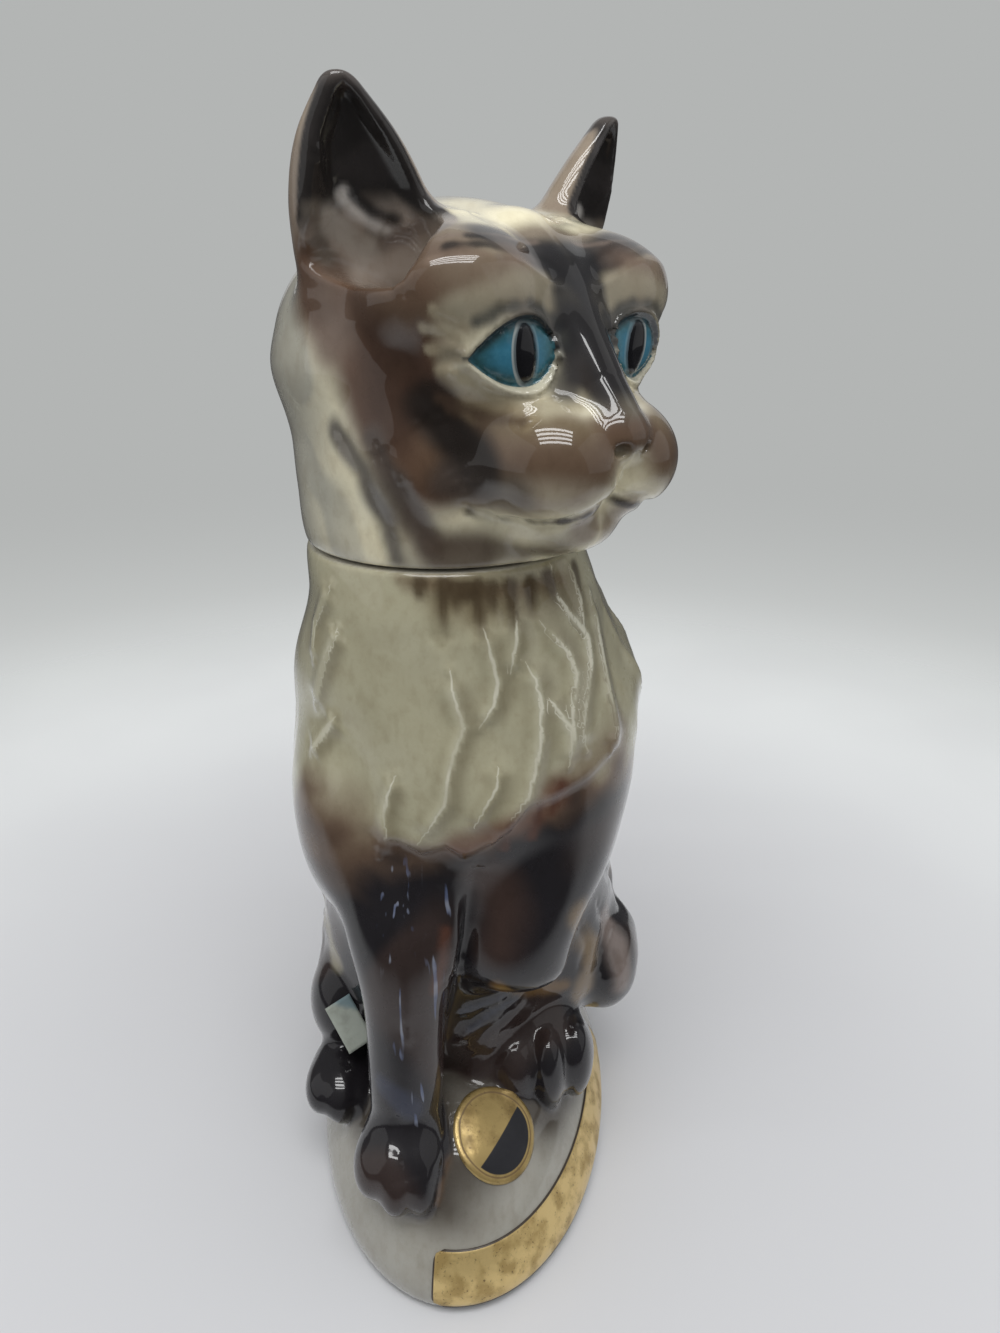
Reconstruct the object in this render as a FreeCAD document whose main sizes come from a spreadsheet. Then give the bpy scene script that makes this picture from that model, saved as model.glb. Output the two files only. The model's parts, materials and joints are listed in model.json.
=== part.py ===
import FreeCAD, Part
import math
import os
import Sketcher

from FreeCAD import Placement, Rotation, Vector

# A figural liquor decanter: a seated cat in glazed china on an oval plinth. The vessel is one hollow
# casting with a round neck. The head is a second hollow casting that lifts off: a china plug cemented
# inside it carries the cork that closes the neck. Three papers are stuck on the vessel.
# Millimetres, +Z up. The origin is the middle of the foot ring, the cat faces -Y and +X is its left.

doc = FreeCAD.newDocument("cat_decanter")
sheet = doc.addObject("Spreadsheet::Sheet", "Sizes")

SIZES = {
    # Oval plinth: a steep wall that rolls over into a low dome; insets are from the widest oval
    "plinth_half_width": 46.0,
    "plinth_half_length": 80.0,
    "plinth_height": 41.0,
    "plinth_wall_height": 18.0,
    "plinth_edge_height": 3.0,
    "plinth_edge_inset": 1.0,
    "plinth_wall_inset": 5.0,
    "plinth_roll_inset": 11.5,
    "plinth_crown_inset": 20.0,
    "plinth_top_inset": 30.0,
    "foot_rim_width": 9.0,
    "foot_recess_depth": 2.5,
    # Torso: half sizes of each level from the seat up to the collar and its shifts backward and to the
    # cat's left; its root is the rump's oval drawn in, down inside the plinth
    "body_height": 154.0,
    "root_inset": 12.0,
    "rump_half_width": 37.0,
    "rump_half_depth": 49.0,
    "rump_back": 13.0,
    "rump_side": 0.0,
    "waist_half_width": 41.0,
    "waist_half_depth": 49.0,
    "waist_back": 10.0,
    "waist_side": 0.0,
    "rib_half_width": 44.0,
    "rib_half_depth": 48.0,
    "rib_back": 4.0,
    "rib_side": 1.0,
    "chest_half_width": 47.5,
    "chest_half_depth": 46.5,
    "chest_back": -1.5,
    "chest_side": 2.5,
    "bib_half_width": 47.0,
    "bib_half_depth": 43.0,
    "bib_back": -4.0,
    "bib_side": 2.5,
    "collar_half_width": 40.5,
    "collar_half_depth": 38.5,
    "collar_back": -6.0,
    "collar_side": 0.5,
    "china_wall": 6.0,
    # Neck: its axis, the round shoulder under the head, the pouring lip, the bore and the funnel
    "neck_x": -2.0,
    "neck_y": -6.5,
    "shoulder_radius": 35.7,
    "shoulder_bevel": 1.5,
    "shoulder_ledge": 0.3,
    "lip_wall": 5.5,
    "lip_height": 6.0,
    "bore_radius": 13.5,
    "bore_length": 22.0,
    "funnel_radius": 32.0,
    "funnel_overlap": 4.0,
    # Stopper: cork round the peg of the plug, whose flange is cemented into the head
    "cork_length": 19.0,
    "cork_fit": 0.05,
    "cork_taper": 0.5,
    "cork_chamfer": 0.8,
    "peg_radius": 8.5,
    "peg_fit": 0.05,
    "flange_thickness": 5.0,
    "flange_clearance": 2.0,
    "cement_width": 1.5,
    "cement_bead": 2.0,
    # Head: the round skirt over the neck, the shell, and how the face sits on the neck axis
    "head_gap": 0.4,
    "head_turn": 41.0,
    "face_left": 5.0,
    "face_forward": 2.0,
    "skirt_wall": 5.0,
    "skirt_run": 5.0,
    "jaw_height": 14.0,
    "jaw_spread": 2.0,
    "skull_half_width": 42.0,
    "skull_half_length": 45.0,
    "skull_back": 5.0,
    "skull_up": 43.0,
    "skull_rise": 35.0,
    "head_wall": 6.0,
    # Ears: foot and tip of each ear from the middle of the face, and the dish in its front
    "ear_turn": 25.0,
    "ear_foot_out": 24.5,
    "ear_foot_forward": 1.0,
    "ear_foot_up": 56.0,
    "ear_tip_out": 37.5,
    "ear_tip_forward": 9.8,
    "ear_height": 40.2,
    "ear_half_width": 16.2,
    "ear_half_depth": 11.5,
    "ear_tip_radius": 2.6,
    "ear_rim": 2.6,
    "ear_dish_forward": 2.0,
    "ear_dish_depth": 2.4,
    "ear_dish_tip": 0.6,
    # Tail: a round tube that lies on the plinth round the left haunch
    "tail_radius": 9.0,
    "tail_turn_radius": 48.0,
    "tail_back": 10.0,
    "tail_up": 5.0,
    "tail_sweep": 105.0,
    # Paper: the foil label round the plinth, the round foil seal and the stock sticker
    "paper_thickness": 0.3,
    "paste_thickness": 0.05,
    "label_bottom": 3.0,
    "label_height": 15.0,
    "label_start_x": -6.0,
    "label_end_y": 8.0,
    "seal_radius": 12.4,
    "seal_x": 6.6,
    "seal_y": -49.1,
    "seal_down": 12.9,
    "seal_turn": 43.0,
    "seal_lean": 42.0,
    "sticker_width": 12.0,
    "sticker_height": 14.0,
    "sticker_side": 2.5,
    "sticker_wrap": 8.0,
}

# Muscles and paws modelled as ellipsoids: centre from the seat, and half sizes along X, Y and Z
LIMBS = {
    "right_haunch": ((-28.0, 18.0, 19.0), (19.0, 38.0, 34.0)),
    "left_haunch": ((30.0, 16.0, 21.0), (20.0, 38.0, 34.0)),
    "right_knee": ((-37.0, -9.0, 4.0), (11.5, 16.0, 16.0)),
    "left_knee": ((45.0, 3.0, 11.0), (12.5, 18.0, 17.0)),
    "right_hind_paw": ((-36.5, -26.0, -12.0), (10.5, 15.0, 9.0)),
    "left_hind_paw": ((20.0, -25.0, -2.0), (20.5, 15.0, 16.0)),
    "right_shoulder": ((-28.0, -16.0, 81.0), (19.0, 28.0, 32.0)),
    "left_shoulder": ((30.0, -16.0, 81.0), (18.0, 26.0, 30.0)),
    "right_forepaw": ((-14.8, -58.0, -7.5), (12.7, 13.5, 11.5)),
}

# Levels of the straight right foreleg and of the raised left one, from the top down
FORELEGS = {
    "right_upper_arm": ((-17.0, -20.0, 89.0), (20.0, 18.0)),
    "right_forearm": ((-13.5, -39.0, 59.0), (16.5, 14.0)),
    "right_shin": ((-13.7, -45.0, 33.0), (11.3, 11.5)),
    "right_wrist": ((-14.0, -49.0, 11.0), (10.3, 11.0)),
    "right_pastern": ((-14.3, -54.0, -10.0), (9.0, 9.0)),
    "left_upper_arm": ((24.0, -17.0, 91.0), (17.0, 16.0)),
    "left_forearm": ((20.0, -33.0, 63.0), (16.0, 14.0)),
    "left_wrist": ((16.0, -37.0, 47.0), (15.5, 12.5)),
    "left_toes": ((15.5, -37.5, 38.0), (13.5, 9.5)),
}

# The face in its own frame: +X to the cat's left, -Y forward, heights from the rim of the head
FACE = {
    "right_cheek": ((-21.0, -12.0, 24.0), (19.0, 21.0, 17.0)),
    "left_cheek": ((21.0, -12.0, 24.0), (19.0, 21.0, 17.0)),
    "right_brow": ((-20.0, -20.0, 57.0), (19.0, 20.5, 14.0)),
    "left_brow": ((20.0, -20.0, 57.0), (19.0, 20.5, 14.0)),
    "right_eye": ((-17.5, -28.5, 46.2), (13.0, 11.5, 10.5)),
    "left_eye": ((17.5, -28.5, 46.2), (13.0, 11.5, 10.5)),
    "right_muzzle": ((-9.5, -40.0, 23.5), (14.5, 16.5, 13.5)),
    "left_muzzle": ((9.5, -40.0, 23.5), (14.5, 16.5, 13.5)),
    "chin": ((0.0, -32.0, 9.5), (15.0, 15.5, 8.5)),
}

# Levels of the nose from the forehead down to its tip, in the face's frame
NOSE = {
    "nose_root": ((0.0, -18.0, 66.0), (9.0, 9.5)),
    "nose_bridge": ((0.0, -27.0, 58.0), (9.5, 10.5)),
    "nose_ridge": ((0.0, -35.0, 48.0), (8.2, 10.0)),
    "nose_slope": ((0.0, -43.5, 38.0), (6.8, 8.5)),
    "nose_tip": ((0.0, -51.0, 28.5), (5.6, 6.5)),
}


def add_cells(values):
    """Write named plain numbers into the next free rows of the sheet."""
    first = len(sheet.getUsedCells()) // 2 + 1
    for row, (alias, value) in enumerate(values.items(), first):
        sheet.set(f"A{row}", alias)
        sheet.set(f"B{row}", str(value))
        sheet.setAlias(f"B{row}", alias)


def form_cells(name, centre, half):
    """Cells for the centre and the half sizes of one ellipsoid or level."""
    add_cells({f"{name}_{key}": value for key, value in zip(("x", "y", "up"), centre)})
    add_cells({f"{name}_half_{key}": value for key, value in zip("xyz", half)})


add_cells(SIZES)
for form, (centre, half) in {**LIMBS, **FORELEGS, **FACE, **NOSE}.items():
    form_cells(form, centre, half)
doc.recompute()

# Shares of a height at which the named ovals lie, and the angles at which the skull's ovals are taken
OVAL_POLES = 12
DOME_LEVELS = {"wall": 0.0, "roll": 0.4, "crown": 0.8, "top": 1.0}
TORSO_LEVELS = {"rump": -0.02, "waist": 0.17, "rib": 0.39, "chest": 0.59, "bib": 0.75, "collar": 0.89}
EAR_LEVELS = (0.0, 0.25, 0.5, 0.75, 1.0)
EAR_WIDTH_TAPER = 2.8
EAR_DEPTH_TAPER = 1.3
SKULL_ANGLES = (-20, 0, 30, 55, 73, 83)
JAW_SHIFT = 1 / 3
SEAT = "Sizes.plinth_height"
SHOULDER = "Sizes.plinth_height + Sizes.body_height"
RIM = f"{SHOULDER} + Sizes.head_gap"
LIP_RADIUS = "Sizes.bore_radius + Sizes.lip_wall"
SKIRT_BORE = "Sizes.shoulder_radius - Sizes.skirt_wall"
FLANGE_RADIUS = f"{SKIRT_BORE} - Sizes.cement_width"
FLANGE_FOOT = "Sizes.lip_height + Sizes.flange_clearance"
BEAD_TOP = f"{FLANGE_FOOT} + Sizes.flange_thickness + Sizes.cement_bead"
SKIRT_DEPTH = f"{BEAD_TOP} + Sizes.skirt_run"
SIDES = {"right": -1, "left": 1}


def value(expression):
    """The number that an expression over the sheet gives now."""
    return float(sheet.evalExpression(expression))


def bind(feature, **properties):
    """Tie a feature's properties to expressions over the sheet; __ stands for a dot."""
    for name, expression in properties.items():
        feature.setExpression(name.replace("__", "."), expression)
    return feature


def place(feature, x="0", y="0", z="0"):
    """Tie a feature's position to expressions over the sheet."""
    return bind(feature, Placement__Base__x=x, Placement__Base__y=y, Placement__Base__z=z)


def on_neck(feature, z):
    """Put a feature on the neck axis at a height."""
    return place(feature, "Sizes.neck_x", "Sizes.neck_y", z)


def cylinder(name, radius, height):
    feature = doc.addObject("Part::Cylinder", name)
    return bind(feature, Radius=radius, Height=height)


def cone(name, lower_radius, upper_radius, height):
    feature = doc.addObject("Part::Cone", name)
    return bind(feature, Radius1=lower_radius, Radius2=upper_radius, Height=height)


def ellipsoid(name, form, x="0", y="0", z="0", grow="0"):
    """The ellipsoid of a form, with its centre counted from x, y and z and its half sizes grown."""
    feature = doc.addObject("Part::Ellipsoid", name)
    bind(feature, Radius1=f"Sizes.{form}_half_z + {grow}")
    bind(feature, Radius2=f"Sizes.{form}_half_x + {grow}")
    bind(feature, Radius3=f"Sizes.{form}_half_y + {grow}")
    return place(feature, f"{x} + Sizes.{form}_x", f"{y} + Sizes.{form}_y", f"{z} + Sizes.{form}_up")


def oval_wire(x, y, z, half_x, half_y, turn=0.0):
    """A closed level oval on evenly spread poles, which always starts at its own +X end."""
    step = 2 * math.pi / OVAL_POLES
    reach = 3 / (2 + math.cos(step))
    poles = []
    for number in range(OVAL_POLES):
        poles.append(Vector(half_x * math.cos(number * step), half_y * math.sin(number * step), 0) * reach)
    curve = Part.BSplineCurve()
    curve.buildFromPoles(poles, True, 3)
    oval = curve.toShape()
    oval.Placement = Placement(Vector(x, y, z), Rotation(Vector(0, 0, 1), turn))
    return Part.Wire(oval)


def loft(name, sections):
    """A solid through level ovals."""
    feature = doc.addObject("Part::Feature", name)
    feature.Shape = Part.makeLoft([oval_wire(*section) for section in sections], True, False)
    return feature


def boolean(kind, name, base, *tools):
    """A boolean of a base and its tools, taken one tool after another with every face kept."""
    whole = base
    for number, tool in enumerate(tools, 1):
        feature = doc.addObject(kind, name if tool is tools[-1] else f"{name}_step_{number}")
        feature.Base = whole
        feature.Tool = tool
        feature.Refine = False
        whole = feature
    return whole


def fuse(name, base, *tools):
    return boolean("Part::Fuse", name, base, *tools)


def cut(name, base, *tools):
    return boolean("Part::Cut", name, base, *tools)


def common(name, base, tool):
    return boolean("Part::Common", name, base, tool)


def plinth_sections(grow=0.0):
    """Ovals of the plinth from the foot to the top of the dome, each grown outwards."""
    half_width = value("Sizes.plinth_half_width") + grow
    half_length = value("Sizes.plinth_half_length") + grow
    edge_inset = value("Sizes.plinth_edge_inset")
    wall_height = value("Sizes.plinth_wall_height")
    dome_height = value(SEAT) + grow - wall_height
    yield 0.0, 0.0, 0.0, half_width - edge_inset, half_length - edge_inset
    yield 0.0, 0.0, value("Sizes.plinth_edge_height"), half_width, half_length
    for name, share in DOME_LEVELS.items():
        inset = value(f"Sizes.plinth_{name}_inset")
        yield 0.0, 0.0, wall_height + share * dome_height, half_width - inset, half_length - inset


def torso_sections(inset=0.0):
    """Ovals of the torso from the seat up to the collar, drawn in by the inset."""
    seat = value(SEAT)
    height = value("Sizes.body_height")
    for name, share in TORSO_LEVELS.items():
        half_x = value(f"Sizes.{name}_half_width") - inset
        half_y = value(f"Sizes.{name}_half_depth") - inset
        side = value(f"Sizes.{name}_side")
        yield side, value(f"Sizes.{name}_back"), seat + share * height, half_x, half_y


def root_section():
    """The oval from which the torso grows inside the plinth."""
    inset = value("Sizes.root_inset")
    half_x = value("Sizes.rump_half_width") - inset
    half_y = value("Sizes.rump_half_depth") - inset
    x, y = value("Sizes.rump_side"), value("Sizes.rump_back")
    return x, y, value("Sizes.plinth_wall_height"), half_x, half_y


def limb(name, levels, foot="0"):
    """A foreleg or the nose, lofted through named levels whose heights are counted from a foot."""
    sections = []
    for level in levels:
        x, y, up = (value(f"Sizes.{level}_{key}") for key in ("x", "y", "up"))
        half_x, half_y = (value(f"Sizes.{level}_half_{key}") for key in "xy")
        sections.append((x, y, value(foot) + up, half_x, half_y))
    return loft(name, sections)


def skull_sections():
    """Ovals of the head from the round rim over the jaw to the crown."""
    rim_radius = value("Sizes.shoulder_radius")
    jaw_radius = rim_radius + value("Sizes.jaw_spread")
    x = value("Sizes.face_left")
    y = value("Sizes.skull_back - Sizes.face_forward")
    half_x = value("Sizes.skull_half_width")
    half_y = value("Sizes.skull_half_length")
    up = value("Sizes.skull_up")
    yield 0.0, 0.0, value("Sizes.shoulder_bevel"), rim_radius, rim_radius
    yield x * JAW_SHIFT, y * JAW_SHIFT, value("Sizes.jaw_height"), jaw_radius, jaw_radius
    for degrees in SKULL_ANGLES:
        angle = math.radians(degrees)
        z = up + value("Sizes.skull_rise") * math.sin(angle)
        yield x, y, z, half_x * math.cos(angle), half_y * math.cos(angle)


def ear_sections(side):
    """Ovals of one ear from foot to tip; side is -1 for the right ear and 1 for the left one."""
    tip_radius = value("Sizes.ear_tip_radius")
    for share in EAR_LEVELS:
        out = value("Sizes.ear_foot_out") * (1 - share) + value("Sizes.ear_tip_out") * share
        fore = value("Sizes.ear_foot_forward") * (1 - share) + value("Sizes.ear_tip_forward") * share
        half_x = tip_radius + (value("Sizes.ear_half_width") - tip_radius) * (1 - share**EAR_WIDTH_TAPER)
        half_y = tip_radius + (value("Sizes.ear_half_depth") - tip_radius) * (1 - share**EAR_DEPTH_TAPER)
        z = value("Sizes.ear_foot_up") + value("Sizes.ear_height") * share
        yield side * out, -fore, z, half_x, half_y, side * value("Sizes.ear_turn")


def ear_dish_sections(side):
    """Ovals of the dish in the front of an ear: the ear's own levels moved forward and drawn in."""
    ahead = Rotation(Vector(0, 0, 1), side * value("Sizes.ear_turn")).multVec(Vector(0, -1, 0))
    rim = value("Sizes.ear_rim")
    depth = value("Sizes.ear_dish_depth")
    tip = value("Sizes.ear_dish_tip")
    for x, y, z, half_x, half_y, turn in list(ear_sections(side))[1:]:
        reach = half_y + value("Sizes.ear_dish_forward")
        dish_x = max(half_x - rim, tip)
        yield x + reach * ahead.x, y + reach * ahead.y, z - rim, dish_x, half_y + depth, turn


def revolved(name, corners):
    """A body turned about the neck axis from a closed outline of (radius, height) expressions."""
    body = doc.addObject("PartDesign::Body", name)
    sketch = body.newObject("Sketcher::SketchObject", f"{name}_outline")
    plane = next(feature for feature in body.Origin.OriginFeatures if feature.Role == "XZ_Plane")
    sketch.AttachmentSupport = (plane, "")
    sketch.MapMode = "FlatFace"
    points = [Vector(value(radius), value(height), 0) for radius, height in corners]
    for index, start in enumerate(points):
        sketch.addGeometry(Part.LineSegment(start, points[(index + 1) % len(points)]))
    for index, ends in enumerate(corners):
        before = (index - 1) % len(corners)
        sketch.addConstraint(Sketcher.Constraint("Coincident", before, 2, index, 1))
        for kind, axis, expression in zip(("DistanceX", "DistanceY"), (-2, -1), ends):
            if expression == "0":
                sketch.addConstraint(Sketcher.Constraint("PointOnObject", index, 1, axis))
                continue
            number = sketch.addConstraint(Sketcher.Constraint(kind, -1, 1, index, 1, value(expression)))
            sketch.renameConstraint(number, f"{kind}_{index}")
            sketch.setExpression(f"Constraints.{kind}_{index}", expression)
    turned = body.newObject("PartDesign::Revolution", f"{name}_turned")
    turned.Profile = sketch
    turned.ReferenceAxis = (sketch, ["V_Axis"])
    turned.Angle = 360
    return on_neck(body, f"{SHOULDER} + {FLANGE_FOOT} - Sizes.cork_length")


# Vessel: plinth, torso, limbs and tail cast in one, with the shoulder and the lip of the neck
plinth = loft("plinth", list(plinth_sections()))
neck = (value("Sizes.neck_x"), value("Sizes.neck_y"))
shoulder_foot = value(f"{SHOULDER} - Sizes.shoulder_bevel")
shoulder_radius = value("Sizes.shoulder_radius")
shoulder = (*neck, shoulder_foot, shoulder_radius, shoulder_radius)
torso = loft("torso", [root_section(), *torso_sections(), shoulder])
right_foreleg = limb("right_foreleg", [name for name in FORELEGS if name.startswith("right")], SEAT)
left_foreleg = limb("left_foreleg", [name for name in FORELEGS if name.startswith("left")], SEAT)
muscles = [ellipsoid(form, form, z=SEAT) for form in LIMBS]
tail = doc.addObject("Part::Torus", "tail")
bind(tail, Radius1="Sizes.tail_turn_radius", Radius2="Sizes.tail_radius", Angle3="Sizes.tail_sweep")
place(tail, "Sizes.left_knee_x - Sizes.tail_turn_radius", "Sizes.tail_back", f"{SEAT} + Sizes.tail_up")
BEVEL_FOOT = "Sizes.shoulder_radius - Sizes.shoulder_ledge"
BEVEL_TOP = "Sizes.shoulder_radius - Sizes.shoulder_bevel"
bevel = cone("shoulder_bevel", BEVEL_FOOT, BEVEL_TOP, "Sizes.shoulder_bevel")
on_neck(bevel, f"{SHOULDER} - Sizes.shoulder_bevel")
lip = cylinder("lip", LIP_RADIUS, "2 * Sizes.lip_height")
on_neck(lip, f"{SHOULDER} - Sizes.lip_height")
solid_cat = fuse("solid_cat", plinth, torso, right_foreleg, left_foreleg, *muscles, tail, bevel, lip)

# Inside of the vessel: the hollow follows the wall, funnels in to the neck and opens at the lip
wall = value("Sizes.china_wall")
foot_inset = value("Sizes.plinth_wall_inset + 2 * Sizes.china_wall")
foot_room = (
    0.0,
    0.0,
    value("Sizes.foot_recess_depth") + wall,
    value("Sizes.plinth_half_width") - foot_inset,
    value("Sizes.plinth_half_length") - foot_inset,
)
hollow = loft("hollow", [foot_room, *torso_sections(wall)][:-1])
BORE_FOOT = f"{SHOULDER} + Sizes.lip_height - Sizes.bore_length"
FUNNEL_FOOT = f"{SEAT} + {TORSO_LEVELS['bib']} * Sizes.body_height - Sizes.funnel_overlap"
funnel = cone("funnel", "Sizes.funnel_radius", "Sizes.bore_radius", f"{BORE_FOOT} - ({FUNNEL_FOOT})")
on_neck(funnel, FUNNEL_FOOT)
bore = cylinder("bore", "Sizes.bore_radius", "2 * Sizes.bore_length")
on_neck(bore, BORE_FOOT)
room = fuse("room", hollow, funnel, bore)
rim_width = value("Sizes.foot_rim_width")
recess_x = value("Sizes.plinth_half_width") - rim_width
recess_y = value("Sizes.plinth_half_length") - rim_width
recess_top = value("Sizes.foot_recess_depth")
recess = loft("foot_recess", [(0.0, 0.0, z, recess_x, recess_y) for z in (-recess_top, recess_top)])
cat_vessel = cut("cat_vessel", solid_cat, room, recess)

# Head: skull, face and ears cast in one over a round skirt, hollow from below
FACE_X = "Sizes.face_left"
FACE_Y = "-Sizes.face_forward"
skull = loft("skull", list(skull_sections()))
rim = cone("rim_bevel", BEVEL_TOP, BEVEL_FOOT, "Sizes.shoulder_bevel")
face = [ellipsoid(form, form, FACE_X, FACE_Y) for form in FACE]
face.append(place(limb("nose", NOSE), FACE_X, FACE_Y))
for name, side in SIDES.items():
    ear = loft(f"{name}_ear", list(ear_sections(side)))
    face.append(place(ear, FACE_X, FACE_Y))
solid_head = fuse("solid_head", skull, rim, *face)
skirt_bore = cylinder("skirt_bore", SKIRT_BORE, SKIRT_DEPTH)
head_room = doc.addObject("Part::Ellipsoid", "head_room")
bind(head_room, Radius1="Sizes.skull_rise - Sizes.head_wall")
bind(head_room, Radius2="Sizes.skull_half_width - Sizes.head_wall")
bind(head_room, Radius3="Sizes.skull_half_length - Sizes.head_wall")
place(head_room, FACE_X, f"{FACE_Y} + Sizes.skull_back", "Sizes.skull_up")
dishes = []
for name, side in SIDES.items():
    dish = loft(f"{name}_ear_dish", list(ear_dish_sections(side)))
    dishes.append(place(dish, FACE_X, FACE_Y))
head_room_open = fuse("head_room_open", skirt_bore, head_room)
cat_head = on_neck(cut("cat_head", solid_head, head_room_open, *dishes), RIM)
bind(cat_head, Placement__Rotation__Angle="Sizes.head_turn")

# Stopper: heights from the foot of the peg, which is level with the foot of the cork
FLANGE_TOP = "Sizes.cork_length + Sizes.flange_thickness"
stopper_plug = revolved(
    "stopper_plug",
    [
        ("0", "0"),
        ("Sizes.peg_radius", "0"),
        ("Sizes.peg_radius", "Sizes.cork_length"),
        (FLANGE_RADIUS, "Sizes.cork_length"),
        (FLANGE_RADIUS, FLANGE_TOP),
        ("0", FLANGE_TOP),
    ],
)
plug_cement = revolved(
    "plug_cement",
    [
        (FLANGE_RADIUS, "Sizes.cork_length"),
        (SKIRT_BORE, "Sizes.cork_length"),
        (SKIRT_BORE, f"{FLANGE_TOP} + Sizes.cement_bead"),
        (f"{FLANGE_RADIUS} - Sizes.cement_bead", FLANGE_TOP),
        (FLANGE_RADIUS, FLANGE_TOP),
    ],
)
CORK_TOP_RADIUS = "Sizes.bore_radius - Sizes.cork_fit"
CORK_FOOT_RADIUS = f"{CORK_TOP_RADIUS} - Sizes.cork_taper"
CORK_TOP = "Sizes.cork_length - Sizes.peg_fit"
cork_sleeve = revolved(
    "cork_sleeve",
    [
        ("Sizes.peg_radius + Sizes.peg_fit", "0"),
        (f"{CORK_FOOT_RADIUS} - Sizes.cork_chamfer", "0"),
        (CORK_FOOT_RADIUS, "Sizes.cork_chamfer"),
        (CORK_TOP_RADIUS, CORK_TOP),
        ("Sizes.peg_radius + Sizes.peg_fit", CORK_TOP),
    ],
)

# Papers: each is a thin skin over the glaze, cut to its outline
paste = value("Sizes.paste_thickness")
paper = value("Sizes.paper_thickness")
pasted_plinth = loft("pasted_plinth", list(plinth_sections(paste)))
papered_plinth = loft("papered_plinth", list(plinth_sections(paste + paper)))
plinth_skin = cut("plinth_skin", papered_plinth, pasted_plinth)
label_window = doc.addObject("Part::Box", "label_window")
PLINTH_LENGTH = "2 * Sizes.plinth_half_length"
bind(label_window, Length="2 * Sizes.plinth_half_width", Width=PLINTH_LENGTH, Height="Sizes.label_height")
place(label_window, "Sizes.label_start_x", f"Sizes.label_end_y - {PLINTH_LENGTH}", "Sizes.label_bottom")
foil_label = common("foil_label", plinth_skin, label_window)
seal_core = cylinder("seal_core", "Sizes.seal_radius", "Sizes.plinth_height")
seal_core.Placement.Rotation = Rotation(value("Sizes.seal_turn"), 0, value("Sizes.seal_lean"))
place(seal_core, "Sizes.seal_x", "Sizes.seal_y", f"{SEAT} - Sizes.seal_down")
foil_seal = common("foil_seal", plinth_skin, seal_core)
papered_knee = ellipsoid("papered_knee", "right_knee", z=SEAT, grow="Sizes.paper_thickness")
sticker_skin = cut("sticker_skin", papered_knee, cat_vessel)
sticker_window = doc.addObject("Part::Box", "sticker_window")
bind(sticker_window, Length="Sizes.sticker_width", Width="Sizes.sticker_wrap")
bind(sticker_window, Height="Sizes.sticker_height")
place(
    sticker_window,
    "Sizes.right_knee_x + Sizes.sticker_side - Sizes.sticker_width / 2",
    "Sizes.right_knee_y - Sizes.right_knee_half_y - Sizes.paper_thickness",
    f"{SEAT} + Sizes.right_knee_up - Sizes.sticker_height / 2",
)
stock_sticker = common("stock_sticker", sticker_skin, sticker_window)

PIECES = (
    cat_vessel,
    cat_head,
    stopper_plug,
    plug_cement,
    cork_sleeve,
    foil_label,
    foil_seal,
    stock_sticker,
)

doc.recompute()
for feature in doc.Objects:
    if {"Invalid", "Error"} & set(feature.State):
        raise RuntimeError(f"{feature.Name} did not build: {feature.State}")
os.makedirs("parts", exist_ok=True)
for piece in PIECES:
    shape = piece.Shape
    if shape.isNull() or not shape.isValid():
        raise RuntimeError(f"{piece.Label} has no sound shape")
    print(piece.Label, shape.ShapeType, len(shape.Solids), round(shape.Volume), shape.BoundBox)
for piece in PIECES:
    piece.Shape.exportStep(f"parts/{piece.Label}.step")
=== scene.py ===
import itertools
import json
import math

import bpy
import numpy as np
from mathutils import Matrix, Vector


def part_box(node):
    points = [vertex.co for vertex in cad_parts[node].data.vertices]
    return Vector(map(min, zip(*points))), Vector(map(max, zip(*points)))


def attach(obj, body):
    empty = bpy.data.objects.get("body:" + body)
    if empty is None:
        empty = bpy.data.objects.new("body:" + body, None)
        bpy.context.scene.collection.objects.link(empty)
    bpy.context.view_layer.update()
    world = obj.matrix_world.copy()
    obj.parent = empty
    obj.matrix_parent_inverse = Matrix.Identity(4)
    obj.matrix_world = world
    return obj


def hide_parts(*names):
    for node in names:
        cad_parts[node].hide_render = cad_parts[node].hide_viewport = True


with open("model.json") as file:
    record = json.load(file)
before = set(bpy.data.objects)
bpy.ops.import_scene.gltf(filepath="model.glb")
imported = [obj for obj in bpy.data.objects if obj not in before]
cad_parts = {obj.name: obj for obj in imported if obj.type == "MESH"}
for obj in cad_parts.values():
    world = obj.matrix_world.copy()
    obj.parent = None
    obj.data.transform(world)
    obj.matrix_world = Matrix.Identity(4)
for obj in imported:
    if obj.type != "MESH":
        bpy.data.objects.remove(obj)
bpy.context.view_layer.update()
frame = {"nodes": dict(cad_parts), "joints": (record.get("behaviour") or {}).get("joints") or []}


# The viewpoint: a phone held close in front of the figure, above its face and tipped down at the plinth.
# Pixels below are counted in its 1000 x 1333 picture.
PICTURE_WIDTH = 1000
PICTURE_HEIGHT = 1333
FOCAL_PIXELS = 900
CAMERA_PLACE = (0.0120, -0.2362, 0.2531)
CAMERA_PITCH = math.radians(22.62)

camera = bpy.data.objects.new("camera", bpy.data.cameras.new("camera"))
bpy.context.scene.collection.objects.link(camera)
camera.data.lens = camera.data.sensor_width * FOCAL_PIXELS / PICTURE_HEIGHT
camera.data.clip_start = 0.01
camera.location = CAMERA_PLACE
camera.rotation_euler = (math.pi / 2 - CAMERA_PITCH, 0, 0)
bpy.context.scene.camera = camera


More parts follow.
